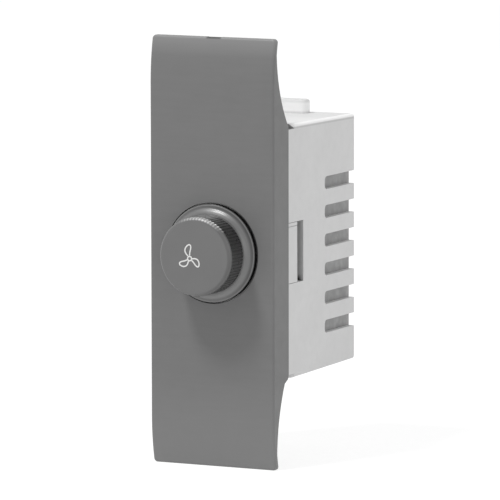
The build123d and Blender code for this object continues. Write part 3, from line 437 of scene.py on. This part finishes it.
def cover_plastic(name, colour):
    """The cover's satin plastic, with painted light on the curled ends and painted shade in the pry
    notch and hole.
    """
    n = Nodes(name)
    x, y, z = axes(n)
    radius = from_axis(n, x, z)
    fine = n.noise(*FINE_GRAIN)
    streaks = n.noise(*STREAKS, n.scaled(*COVER_STREAK_STRETCH))
    # Painted shade on the hole's wall and edge and in the pry notch.
    facing = towards(n, x, z, radius, HOLE_SHADED_SIDE)
    hole_wall = both(n, ramp(n, radius, *HOLE_WALL_RADIUS), ramp(n, y, *HOLE_WALL_BEHIND_FACE),
                     n.remap(facing, *GAP_FACING, GAP_LEAST_SHARE, 1.0))
    hole_edge = both(n, ramp(n, radius, *HOLE_EDGE_RADIUS),
                     n.remap(facing, *HOLE_EDGE_FACING, 0.0, 1.0))
    width = n.maths("ABSOLUTE", x)
    notch = both(n, ramp(n, width, *NOTCH_HALF_WIDTH), ramp(n, z, *NOTCH_FLOOR), NOTCH_SHARE)
    gap_shade = n.maths("MAXIMUM", n.maths("MAXIMUM", hole_wall, hole_edge), notch)
    tint = plastic_tint(n, colour, fine, n.noise(*CLOUDS))
    for share, factor in (
        (n.remap(streaks, *COVER_STREAK_SPAN, 0.0, COVER_STREAK_SHARE), COVER_STREAK_TINT),
        # Painted light on the curled ends.
        (ramp(n, z, *CURL_TOP), CURL_TOP_PAINTED_LIGHT),
        (ramp(n, z, *CURL_BOTTOM), CURL_BOTTOM_PAINTED_LIGHT),
        # Painted shade in the hole and the pry notch.
        (gap_shade, GAP_PAINTED_SHADE),
    ):
        tint = toned(n, share, tint, colour, factor)
    n.bumps((fine, COVER_GRAIN_DEPTH), (n.noise(*WAVES), COVER_WAVE_DEPTH))
    return n.finish(tint, patchy_gloss(n, *COVER_GLOSS))


def knob_plastic(name, colour):
    """Satin plastic, glossier on the flutes and in the cove, its skirt dished, with painted light and
    shade.

    Painted shade gathers on the side away from the key light: on the rounded front edge, the flutes,
    the skirt and its wall in the gap. Painted light lies on the top of the flutes and a painted
    highlight on the rim, placed in the world like the shade so that they stay there when the knob
    turns. A painted highlight line runs round the skirt, and the painted glints on the ends of the
    ridges between the flutes turn along.
    """
    n = Nodes(name)
    x, y, z = axes(n)
    radius = from_axis(n, x, z)
    fine = n.noise(*FINE_GRAIN)
    spot = n.add("ShaderNodeSeparateXYZ")
    n.link(n.add("ShaderNodeNewGeometry").outputs["Position"], spot.inputs[0])

    def facing(side, span, low=0.0, high=1.0):
        """Goes from low to high the more the spot is on this side of the axis, in the world."""
        return n.remap(towards(n, spot.outputs[0], spot.outputs[2], radius, side), *span, low, high)

    shaded = facing(SHADED_SIDE, SHADED_FACING)
    skirt = ramp(n, y, *SKIRT_FRONT)
    flutes = n.maths("COSINE", n.maths("MULTIPLY", n.maths("ARCTAN2", z, x), KNOB_FLUTES))
    ridges = n.remap(flutes, *RIDGE_SPAN, RIDGE_LEAST_SHARE, 1.0)
    round_edge = both(n, ramp(n, radius, *ROUND_EDGE_RADIUS), ramp(n, y, *ROUND_EDGE_REAR))
    behind_edge = both(n, ramp(n, radius, *FACE_END_RADIUS), ramp(n, radius, *FLANK_END_RADIUS),
                       ramp(n, y, *FLANK_REAR))
    flank = n.maths("MULTIPLY", behind_edge, ramp(n, y, *FLANK_FRONT))
    # Painted shade on the flutes, on the side away from the key light.
    flank_shade = both(n, flank, n.remap(shaded, 0.0, 1.0, FLANK_LEAST_SHARE, 1.0),
                      facing(FLANK_LOW_SIDE, FLANK_LOW_FACING, 1.0, FLANK_LOW_SHARE))
    # Painted light on the top of the flutes.
    lit_flank = both(n, behind_edge, ramp(n, y, *LIT_FLANK_FRONT),
                     facing(LIT_FLANK_SIDE, LIT_FLANK_FACING))
    # Painted glints on the ridge ends, on the lit side.
    ridge_end_glints = both(n, ramp(n, radius, *RIDGE_END_RADIUS), ramp(n, y, *RIDGE_END_FRONT),
                      ramp(n, y, *RIDGE_END_REAR), ridges, facing(LIT_SIDE, RIDGE_END_FACING))
    # Painted highlight on the rim, on the lit side.
    rim = both(n, ramp(n, radius, *RIM_RADIUS), ramp(n, y, *RIM_REAR), facing(LIT_SIDE, RIM_FACING),
               n.remap(ridges, 0.0, 1.0, RIM_LEAST_SHARE, 1.0))
    # Painted highlight line round the skirt.
    skirt_line_highlight = both(n, ramp(n, radius, *SKIRT_LINE_START), ramp(n, radius, *SKIRT_LINE_END), skirt,
                      SKIRT_LINE_SHARE)
    # Painted shade on the skirt's wall in the gap.
    skirt_wall_shade = both(n, ramp(n, radius, *SKIRT_WALL_RADIUS), ramp(n, y, *SKIRT_WALL_FRONT),
                      facing(SHADED_SIDE, GAP_FACING, GAP_LEAST_SHARE))

    tint = plastic_tint(n, colour, fine, n.noise(*KNOB_CLOUDS))
    for share, factor in (
        # Painted shade on the rounded front edge.
        (both(n, round_edge, shaded, ROUND_EDGE_SHARE), ROUND_EDGE_PAINTED_SHADE),
        (flank_shade, FLANK_PAINTED_SHADE),
        (lit_flank, LIT_FLANK_PAINTED_LIGHT),
        (ridge_end_glints, RIDGE_END_PAINTED_GLINT),
        (rim, RIM_PAINTED_HIGHLIGHT),
    ):
        tint = toned(n, share, tint, colour, factor)
    # The skirt's own tone, with painted shade on its side away from the light.
    skirt_tone_and_shade = n.mix(facing(SKIRT_SHADED_SIDE, SKIRT_SHADED_FACING), shade(colour, SKIRT_TINT),
                       shade(colour, SKIRT_PAINTED_SHADE))
    tint = n.mix(skirt, tint, skirt_tone_and_shade)
    tint = toned(n, skirt_line_highlight, tint, colour, SKIRT_LINE_PAINTED_HIGHLIGHT)
    tint = toned(n, skirt_wall_shade, tint, colour, SKIRT_WALL_PAINTED_SHADE)

    glossy = n.maths("MULTIPLY", n.maths("MAXIMUM", flank, round_edge), FLANK_GLOSS)
    gloss = n.maths("SUBTRACT", patchy_gloss(n, *KNOB_GLOSS), glossy)
    cove = n.maths("MULTIPLY", skirt, ramp(n, radius, *COVE_RADIUS))
    dish = n.remap(radius, DISH_START * MM, DISH_END * MM, 1.0, 0.0, "SMOOTHSTEP")
    n.bumps((fine, KNOB_GRAIN_DEPTH), (n.noise(*WAVES), KNOB_WAVE_DEPTH),
            (n.maths("MULTIPLY", dish, skirt), DISH_DEPTH))
    return n.finish(tint, gloss, specular=n.maths("ADD", cove, COVE_SPECULAR))


def sleeve_plastic(name, colour):
    """The sleeve's matt plastic, with painted light on the lugs, the top face near the front and the
    long top edges, a painted shade line below those edges and painted shade at the cuts at its upper
    front corners.

    In a latch window the wall at its rear end shows, with painted shade that is deepest at its foot.
    """
    n = Nodes(name)
    x, y, z = axes(n)
    width = n.maths("ABSOLUTE", x)
    height = n.maths("ABSOLUTE", z)
    fine = n.noise(*FINE_GRAIN)
    blotches = n.remap(n.noise(*SLEEVE_BLOTCHES), *SLEEVE_BLOTCH_SPAN, 0.0, SLEEVE_BLOTCH_SHARE)
    # Painted light on the lugs.
    lug = both(n, ramp(n, height, *LUG_FOOT), ramp(n, height, *LUG_TOP))
    # Painted light on the top face near the front.
    top_face_light = both(n, ramp(n, z, *TOP_FACE), ramp(n, y, *TOP_FACE_NEAR_FRONT),
                    n.remap(lug, 0.0, 1.0, 1.0, 0.0))

    top = n.remap(y, SLEEVE_FRONT * MM, SLEEVE_REAR * MM,
                  SLEEVE_TOP_AT_FRONT * MM, SLEEVE_TOP_AT_REAR * MM)
    below_top = n.maths("SUBTRACT", top, height)
    long_edge = both(n, ramp(n, width, *LONG_EDGE), ramp(n, z, *UPPER_HALF))
    # Painted highlight along the long top edges.
    band = both(n, long_edge, ramp(n, below_top, *EDGE_BAND_END))
    # Painted shade line below it.
    line = both(n, long_edge, ramp(n, below_top, *EDGE_LINE_START), ramp(n, below_top, *EDGE_LINE_END),
                ramp(n, width, *EDGE_LINE_SIDE), EDGE_LINE_SHARE)

    # Painted shade at the cuts at the upper front corners.
    rise = n.remap(y, CUT_FRONT * MM, CUT_REAR * MM, CUT_HEIGHT * MM, 0.0)
    over_floor = n.maths("SUBTRACT", height, CUT_FLOOR * MM)
    cut_shade = both(n, ramp(n, n.maths("SUBTRACT", rise, over_floor), *CUT_SLOPE), ramp(n, z, *CUT_ABOVE),
               ramp(n, y, *CUT_BEFORE), ramp(n, width, *CUT_SIDE))

    # Painted shade in the latch window, deepest at its foot.
    window = both(n, ramp(n, y, *WINDOW_FRONT), ramp(n, y, *WINDOW_REAR), ramp(n, width, *WINDOW_SIDE),
                  ramp(n, height, *WINDOW_HALF_HEIGHT))
    window_foot_shade = both(n, window, ramp(n, z, *WINDOW_FOOT), ramp(n, width, *WINDOW_FOOT_SIDE))

    tint = plastic_tint(n, colour, fine, n.noise(*CLOUDS))
    for share, factor in (
        (blotches, SLEEVE_BLOTCH_TINT),
        (lug, LUG_PAINTED_LIGHT),
        (top_face_light, TOP_FACE_PAINTED_LIGHT),
        (band, EDGE_BAND_PAINTED_HIGHLIGHT),
        (line, EDGE_LINE_PAINTED_SHADE),
        (cut_shade, CUT_PAINTED_SHADE),
        (both(n, window, ramp(n, width, *WINDOW_DEPTH, *WINDOW_SHARES)), WINDOW_PAINTED_SHADE),
        (window_foot_shade, WINDOW_FOOT_PAINTED_SHADE),
    ):
        tint = toned(n, share, tint, colour, factor)
    n.bumps((fine, SLEEVE_GRAIN_DEPTH), (n.noise(*WAVES), SLEEVE_WAVE_DEPTH))
    return n.finish(tint, patchy_gloss(n, *SLEEVE_GLOSS))


def inner_plastic(name, colour):
    """The inner body's rough plastic, with blotches and upright streaks, plainer on its rear face."""
    n = Nodes(name)
    y = axes(n)[1]
    fine = n.noise(*FINE_GRAIN)
    blotch = n.noise(*INNER_BLOTCHES)
    blotches = n.remap(blotch, *INNER_BLOTCH_SPAN, 0.0, INNER_BLOTCH_SHARE)
    streak = n.noise(*STREAKS, n.scaled(*INNER_STREAK_STRETCH))
    streaks = n.remap(streak, *INNER_STREAK_SPAN, 0.0, INNER_STREAK_SHARE)
    low, high = REAR_FACE_TINTS
    rear = n.mix(n.remap(blotch, *NOISE_SPAN, 0.0, 1.0), shade(colour, low), shade(colour, high))
    tint = plastic_tint(n, colour, fine, n.noise(*CLOUDS))
    tint = toned(n, blotches, tint, colour, INNER_BLOTCH_TINT)
    tint = toned(n, streaks, tint, colour, INNER_STREAK_TINT)
    tint = n.mix(ramp(n, y, *REAR_FACE, 0.0, REAR_FACE_SHARE), tint, rear)
    n.bumps((fine, INNER_GRAIN_DEPTH), (blotch, INNER_BLOTCH_DEPTH))
    return n.finish(tint, n.remap(blotch, *NOISE_SPAN, *INNER_GLOSS))


# The finishes of the other pieces. Sizes and depths are in mm. A SPAN gives the noise values at which a
# shade is at none and at full.

MOULDED_GRAIN_DEPTH = 0.006
MOULDED_WAVE_DEPTH = 0.012
MOULDED_GLOSS_SPREAD = 0.035
PLATING_LINES = (0.12, 3.0, 0.6)
PLATING_LINE_SPAN = (0.4, 0.75)
PLATING_LINE_SHARE = 0.25
PLATING_LINE_DEPTH = 0.004
PLATING_LINE_TINT = 0.6
PLATING_CLOUDS = (1.6, 3.0, 0.6)
PLATING_CLOUD_SPAN = (0.35, 0.7)
PLATING_CLOUD_TINT = 0.82
PLATING_GLOSS_RANGE = (-0.07, 0.11)
PLATING_WAVES = (0.7, 2.0)
PLATING_WAVE_DEPTH = 0.004
COAT_TINTS = (0.9, 1.08)
COAT_SPECK_SIZE = 0.45
COAT_SPECK_SPAN = (0.12, 0.0)
COAT_GLOSS_PATCHES = (1.2, 2.0)
COAT_GLOSS_RANGE = (-0.06, 0.08)
COAT_GRAIN = (0.15, 2.0)
COAT_GRAIN_DEPTH = 0.003
BOARD_FIBRES = (0.5, 4.0, 0.6)
BOARD_FIBRE_STRETCH = (1.0, 1.0, 0.25)
BOARD_FIBRE_DEPTH = 0.010
BOARD_GRAIN = (0.2, 2.0)
BOARD_GRAIN_DEPTH = 0.004
BOARD_SPECK_SIZE = 1.1
BOARD_SPECK_SPAN = (0.10, 0.0)
BOARD_SPECK_SHARE = 0.3
BOARD_GLOSS = (0.42, 0.58)
BOARD_DARK = (0.33, 0.22, 0.085)
BOARD_PALE = (0.47, 0.35, 0.16)
BOARD_SPECK = (0.22, 0.13, 0.05)
TRACK_INNER = (4.2, 4.3)
TRACK_OUTER = (6.3, 6.2)
TRACK_GRAIN = (0.3, 3.0, 0.6)
TRACK_GRAIN_DEPTH = 0.006
TRACK_STEP_DEPTH = 0.02
TRACK_COVER = (0.85, 0.97)
WAFER_ROUGH = 0.55
CARBON_ROUGH = 0.36
WAFER_DARK = (0.26, 0.15, 0.07)
WAFER_PALE = (0.36, 0.23, 0.12)
CARBON = (0.02, 0.02, 0.022)
INK_PATCHES = (0.25, 3.0, 0.6)
INK_DEPTH = 0.003
INK_GLOSS = (0.42, 0.55)
INK_TINT = 0.94


def moulded(name, colour, rough, grain_mm=0.16):
    """Injection-moulded plastic: fine spark-eroded grain, faint flow clouds and uneven gloss."""
    n = Nodes(name)
    fine = n.noise(grain_mm, 3.0, 0.6)
    tint = plastic_tint(n, colour, fine, n.noise(*CLOUDS))
    n.bumps((fine, MOULDED_GRAIN_DEPTH), (n.noise(*WAVES), MOULDED_WAVE_DEPTH))
    return n.finish(tint, patchy_gloss(n, rough - MOULDED_GLOSS_SPREAD, rough + MOULDED_GLOSS_SPREAD))


def plated(name, colour, rough, brush):
    """Plated or drawn metal: fine lines, longest where brush is smallest, and dull clouds."""
    n = Nodes(name)
    lines = n.noise(*PLATING_LINES, n.scaled(*brush))
    cloud = n.noise(*PLATING_CLOUDS)
    tint = toned(n, n.remap(cloud, *PLATING_CLOUD_SPAN, 0.0, 1.0), colour, colour, PLATING_CLOUD_TINT)
    worn = n.remap(lines, *PLATING_LINE_SPAN, 0.0, PLATING_LINE_SHARE)
    tint = toned(n, worn, tint, colour, PLATING_LINE_TINT)
    gloss = n.remap(cloud, *NOISE_SPAN, *(rough + change for change in PLATING_GLOSS_RANGE))
    n.bumps((lines, PLATING_LINE_DEPTH), (n.noise(*PLATING_WAVES), PLATING_WAVE_DEPTH))
    return n.finish(tint, gloss, metallic=1.0)


def coated(name, colour, rough, lump_mm, lump_depth, speck, speck_share):
    """Dipped, lacquered or pressed parts: a lumpy skin with specks of another shade."""
    n = Nodes(name)
    lumps = n.noise(lump_mm, 3.0, 0.5)
    low, high = COAT_TINTS
    tint = n.mix(n.remap(lumps, *NOISE_SPAN, 0.0, 1.0), shade(colour, low), shade(colour, high))
    specks = n.remap(n.cells(COAT_SPECK_SIZE), *COAT_SPECK_SPAN, 0.0, speck_share)
    tint = n.mix(specks, tint, speck)
    patches = n.noise(*COAT_GLOSS_PATCHES)
    gloss = n.remap(patches, *NOISE_SPAN, *(rough + change for change in COAT_GLOSS_RANGE))
    n.bumps((lumps, lump_depth), (n.noise(*COAT_GRAIN), COAT_GRAIN_DEPTH))
    return n.finish(tint, gloss)


def printed_board(name):
    """Brown pressed board with its fibre grain and the paler resin that shows between."""
    n = Nodes(name)
    fibre = n.noise(*BOARD_FIBRES, n.scaled(*BOARD_FIBRE_STRETCH))
    tint = n.mix(n.remap(fibre, *NOISE_SPAN, 0.0, 1.0), BOARD_DARK, BOARD_PALE)
    specks = n.remap(n.cells(BOARD_SPECK_SIZE), *BOARD_SPECK_SPAN, 0.0, BOARD_SPECK_SHARE)
    tint = n.mix(specks, tint, BOARD_SPECK)
    n.bumps((fibre, BOARD_FIBRE_DEPTH), (n.noise(*BOARD_GRAIN), BOARD_GRAIN_DEPTH))
    return n.finish(tint, n.remap(fibre, *NOISE_SPAN, *BOARD_GLOSS))


def carbon_track(name):
    """Phenolic wafer with the black carbon ring."""
    n = Nodes(name)
    x, _, z = axes(n)
    radius = from_axis(n, x, z)
    grain = n.noise(*TRACK_GRAIN)
    ring = both(n, ramp(n, radius, *TRACK_INNER), ramp(n, radius, *TRACK_OUTER))
    tint = n.mix(n.remap(grain, *NOISE_SPAN, 0.0, 1.0), WAFER_DARK, WAFER_PALE)
    tint = n.mix(n.maths("MULTIPLY", ring, n.remap(grain, *NOISE_SPAN, *TRACK_COVER)), tint, CARBON)
    n.bumps((grain, TRACK_GRAIN_DEPTH), (ring, TRACK_STEP_DEPTH))
    return n.finish(tint, n.remap(ring, 0.0, 1.0, WAFER_ROUGH, CARBON_ROUGH))


def ink(name, colour):
    """White pad-printed ink that covers slightly unevenly."""
    n = Nodes(name)
    patch = n.noise(*INK_PATCHES)
    tint = n.mix(n.remap(patch, *NOISE_SPAN, 0.0, 1.0), shade(colour, INK_TINT), colour)
    n.bumps((patch, INK_DEPTH))
    return n.finish(tint, n.remap(patch, *NOISE_SPAN, *INK_GLOSS))


# Colours are linear. A plated finish is given by colour, roughness and brush. A coated one is given by
# colour, roughness, size and depth of its lumps in mm, and the colour and share of its specks.

COVER_GREY = (0.161, 0.161, 0.161)
KNOB_GREY = (0.154, 0.154, 0.154)
HOUSING_GREY = (0.70, 0.70, 0.70)
FRAME_GREY = (0.69, 0.69, 0.69)
INNER_GREY = (0.39, 0.39, 0.39)
INK_WHITE = (0.78, 0.78, 0.77)


def slot_materials():
    return {
        "dark_cover": cover_plastic("satin dark grey", COVER_GREY),
        "dark_knob": knob_plastic("satin dark grey knob", KNOB_GREY),
        "light_frame": moulded("matt light grey carrier", FRAME_GREY, rough=0.50),
        "light_housing": sleeve_plastic("matt light grey housing", HOUSING_GREY),
        "light_inner": inner_plastic("matt grey inner body", INNER_GREY),
        "zinc": plated("zinc plating", (0.60, 0.61, 0.63), 0.32, (1.0, 0.1, 1.0)),
        "plated_can": plated("tin plate", (0.55, 0.56, 0.57), 0.28, (1.0, 1.0, 0.08)),
        "wafer": carbon_track("carbon track wafer"),
        "tinned_pins": plated("tinned wire", (0.66, 0.66, 0.67), 0.25, (1.0, 1.0, 0.1)),
        "shaft_steel": plated("drawn steel", (0.50, 0.50, 0.51), 0.26, (1.0, 0.06, 1.0)),
        "clip_steel": plated("oiled spring steel", (0.20, 0.20, 0.21), 0.36, (0.1, 1.0, 1.0)),
        "rotor_plastic": moulded("natural nylon", (0.70, 0.67, 0.57), rough=0.42, grain_mm=0.3),
        "contact_brass": plated("stamped brass", (0.62, 0.43, 0.15), 0.27, (1.0, 1.0, 0.1)),
        "board": printed_board("pressed board"),
        "ferrite": coated("coated ferrite", (0.045, 0.045, 0.05),
                          0.48, 0.5, 0.02, (0.14, 0.14, 0.15), 0.25),
        "copper_wire": coated("enamelled copper", (0.42, 0.12, 0.035),
                              0.20, 0.9, 0.008, (0.6, 0.25, 0.1), 0.1),
        "sink_aluminium": plated("folded aluminium", (0.68, 0.68, 0.69), 0.34, (1.0, 1.0, 0.05)),
        "triac_case": coated("moulded resin", (0.022, 0.022, 0.023),
                             0.42, 0.4, 0.01, (0.07, 0.07, 0.07), 0.3),
        "screw_steel": plated("zinc plated steel", (0.56, 0.57, 0.59), 0.27, (0.3, 0.3, 1.0)),
        "film_case": coated("yellow case", (0.55, 0.38, 0.05),
                            0.36, 1.4, 0.01, (0.35, 0.22, 0.03), 0.2),
        "timing_case": coated("blue case", (0.06, 0.13, 0.32),
                              0.36, 1.4, 0.01, (0.12, 0.22, 0.42), 0.2),
        "fuse_case": coated("black case", (0.03, 0.03, 0.03),
                            0.40, 1.0, 0.01, (0.08, 0.08, 0.08), 0.3),
        "resistor_body": coated("resistor lacquer", (0.25, 0.40, 0.44),
                                0.30, 0.7, 0.03, (0.4, 0.5, 0.5), 0.15),
        "diac_body": coated("diode lacquer", (0.07, 0.13, 0.34),
                            0.28, 0.7, 0.02, (0.2, 0.25, 0.4), 0.15),
        "cage_steel": plated("plated cage", (0.60, 0.60, 0.55), 0.30, (1.0, 0.1, 1.0)),
    }


def dress_nodes(materials):
    slots = {part["node"]: part["material_slot"] for part in frame["record"]["subparts"]}
    for name, node in frame["nodes"].items():
        for slot in node.material_slots:
            slot.material = materials[slots[name]]


# The sign on the knob: three leaf blades round a hub ring, printed on the flat face.

SIGN_CENTRE = (-0.93, -0.26)
SIGN_LINE = 0.22
SIGN_HUB_RADIUS = 0.36
SIGN_THICKNESS = 0.012
SIGN_SUNK = 0.01
BLADES = ((0.0, 1.0), (118.0, 0.92), (233.0, 0.90))
BLADE_PATH = [
    (-0.30, 0.42), (-0.66, 0.80), (-0.84, 1.25), (-0.74, 1.72), (-0.40, 2.10),
    (-0.05, 2.26), (0.20, 2.08), (0.20, 1.62), (0.06, 1.08), (0.00, 0.50),
]
STEPS_PER_SPAN = 6
HUB_STEPS = 36


def smooth_path(points):
    """Points along a Catmull-Rom curve through the given ones, ends included."""
    padded = [2 * Vector(points[0]) - Vector(points[1])] + [Vector(p) for p in points]
    padded.append(2 * Vector(points[-1]) - Vector(points[-2]))
    path = []
    for a, b, c, d in zip(padded, padded[1:], padded[2:], padded[3:]):
        for k in range(STEPS_PER_SPAN):
            t = k / STEPS_PER_SPAN
            path.append(0.5 * (2 * b + (c - a) * t + (2 * a - 5 * b + 4 * c - d) * t * t
                               + (3 * b - a - 3 * c + d) * t * t * t))
    path.append(padded[-2])
    return path


def ribbon(mesh, path, width, front, back, closed):
    """Adds a flat band of this width along a path in X and Z, from Y front to Y back, all in mm."""
    count = len(path)
    rows = []
    for i, point in enumerate(path):
        before = path[i - 1] if i or closed else path[i]
        after = path[(i + 1) % count] if i < count - 1 or closed else path[i]
        along = (after - before).normalized()
        across = Vector((-along.y, along.x)) * width / 2
        row = []
        for share, depth in ((1, front), (-1, front), (-1, back), (1, back)):
            place = point + share * across
            row.append(mesh.verts.new((place.x * MM, depth * MM, place.y * MM)))
        rows.append(row)
    for i in range(count if closed else count - 1):
        a, b = rows[i], rows[(i + 1) % count]
        for k in range(4):
            mesh.faces.new((a[k], a[(k + 1) % 4], b[(k + 1) % 4], b[k]))
    if not closed:
        mesh.faces.new(rows[0])
        mesh.faces.new(list(reversed(rows[-1])))


def new_piece(name, mesh, material, body):
    bmesh.ops.recalc_face_normals(mesh, faces=mesh.faces[:])
    data = bpy.data.meshes.new(name)
    mesh.to_mesh(data)
    mesh.free()
    data.materials.append(material)
    piece = bpy.data.objects.new(name, data)
    bpy.context.scene.collection.objects.link(piece)
    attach(piece, body)


def make_sign():
    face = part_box("knob")[0].y / MM
    front = face - SIGN_THICKNESS
    back = face + SIGN_SUNK
    centre = Vector(SIGN_CENTRE)
    mesh = bmesh.new()
    hub = [centre + SIGN_HUB_RADIUS * Vector((math.cos(a), math.sin(a)))
           for a in (2 * math.pi * k / HUB_STEPS for k in range(HUB_STEPS))]
    ribbon(mesh, hub, SIGN_LINE, front, back, True)
    for turn, size in BLADES:
        spin = Matrix.Rotation(math.radians(turn), 2)
        blade = [centre + spin @ (p * size) for p in smooth_path(BLADE_PATH)]
        ribbon(mesh, blade, SIGN_LINE, front, back, False)
    new_piece("fan_sign", mesh, ink("white ink", INK_WHITE), "knob_spindle")


# Floor, world and lights.

FLOOR_HALF = 3.0
FLOOR_GLOW = 0.83
FLOOR_SHADOW_SHARE = 0.28
PAPER_DARK = (0.86, 0.86, 0.86)
PAPER_PALE = (0.88, 0.88, 0.88)
PAPER_GRAIN = (0.8, 2.0)
PAPER_DEPTH = 0.01
PAPER_ROUGH = 0.9
PAPER_SPECULAR = 0.1
WORLD_STRENGTH = 0.55
BACKGROUND_STRENGTH = 1.0
LIGHT_DISTANCE = 1.2
KEY_SIDE = direction(-27, 61)
KEY_SIZE = 0.22
KEY_POWER = 7.7
FILL_SIDE = direction(80, 15)
FILL_SIZE = 1.0
FILL_POWER = 1.5


def sees_background(tree):
    """1 for the rays that should see plain white: the camera's, and those in gloss and glass."""
    path = tree.nodes.new("ShaderNodeLightPath")
    seen = path.outputs["Is Camera Ray"]
    for kind in ("Is Glossy Ray", "Is Transmission Ray"):
        either = tree.nodes.new("ShaderNodeMath")
        either.operation = "MAXIMUM"
        tree.links.new(seen, either.inputs[0])
        tree.links.new(path.outputs[kind], either.inputs[1])
        seen = either.outputs[0]
    return seen


def floor_material():
    """Pale paper, lifted to white where it is seen as background, but for the object's shadow."""
    n = Nodes("pale floor")
    paper = n.noise(*PAPER_GRAIN)
    n.bumps((paper, PAPER_DEPTH))
    tint = n.mix(n.remap(paper, *NOISE_SPAN, 0.0, 1.0), PAPER_DARK, PAPER_PALE)
    n.finish(tint, PAPER_ROUGH, specular=PAPER_SPECULAR)
    glow = n.add("ShaderNodeEmission")
    glow.inputs["Strength"].default_value = FLOOR_GLOW
    shadow = n.add("ShaderNodeBsdfDiffuse")
    shadow.inputs["Color"].default_value = (*(FLOOR_SHADOW_SHARE,) * 3, 1.0)
    lifted = n.add("ShaderNodeAddShader")
    n.link(glow.outputs[0], lifted.inputs[0])
    n.link(shadow.outputs[0], lifted.inputs[1])
    mix = n.add("ShaderNodeMixShader")
    n.link(sees_background(n.tree), mix.inputs[0])
    n.link(n.shader.outputs[0], mix.inputs[1])
    n.link(lifted.outputs[0], mix.inputs[2])
    n.link(mix.outputs[0], n.output.inputs["Surface"])
    return n.material


def make_stage():
    low = cad_box[0].z
    mesh = bmesh.new()
    corners = [(-1, -1), (1, -1), (1, 1), (-1, 1)]
    mesh.faces.new([mesh.verts.new((x * FLOOR_HALF, y * FLOOR_HALF, low)) for x, y in corners])
    data = bpy.data.meshes.new("floor")
    mesh.to_mesh(data)
    mesh.free()
    data.materials.append(floor_material())
    floor = bpy.data.objects.new("floor", data)
    bpy.context.scene.collection.objects.link(floor)


def make_world():
    world = bpy.data.worlds.new("studio")
    bpy.context.scene.world = world
    world.use_nodes = True
    tree = world.node_tree
    tree.nodes.clear()
    mix = tree.nodes.new("ShaderNodeMixShader")
    tree.links.new(sees_background(tree), mix.inputs[0])
    for place, strength in ((1, WORLD_STRENGTH), (2, BACKGROUND_STRENGTH)):
        light = tree.nodes.new("ShaderNodeBackground")
        light.inputs["Color"].default_value = (1.0, 1.0, 1.0, 1.0)
        light.inputs["Strength"].default_value = strength
        tree.links.new(light.outputs[0], mix.inputs[place])
    output = tree.nodes.new("ShaderNodeOutputWorld")
    tree.links.new(mix.outputs[0], output.inputs["Surface"])


def area_light(name, side, size, power):
    data = bpy.data.lights.new(name, "AREA")
    data.shape = "DISK"
    data.size = size
    data.energy = power
    light = bpy.data.objects.new(name, data)
    bpy.context.scene.collection.objects.link(light)
    light.location = side * LIGHT_DISTANCE
    light.rotation_mode = "QUATERNION"
    light.rotation_quaternion = (-side).to_track_quat("-Z", "Y")


make_camera()
dress_nodes(slot_materials())
make_sign()
make_stage()
make_world()
area_light("key", KEY_SIDE, KEY_SIZE, KEY_POWER)
area_light("fill", FILL_SIDE, FILL_SIZE, FILL_POWER)
bpy.context.scene.view_settings.view_transform = "Standard"
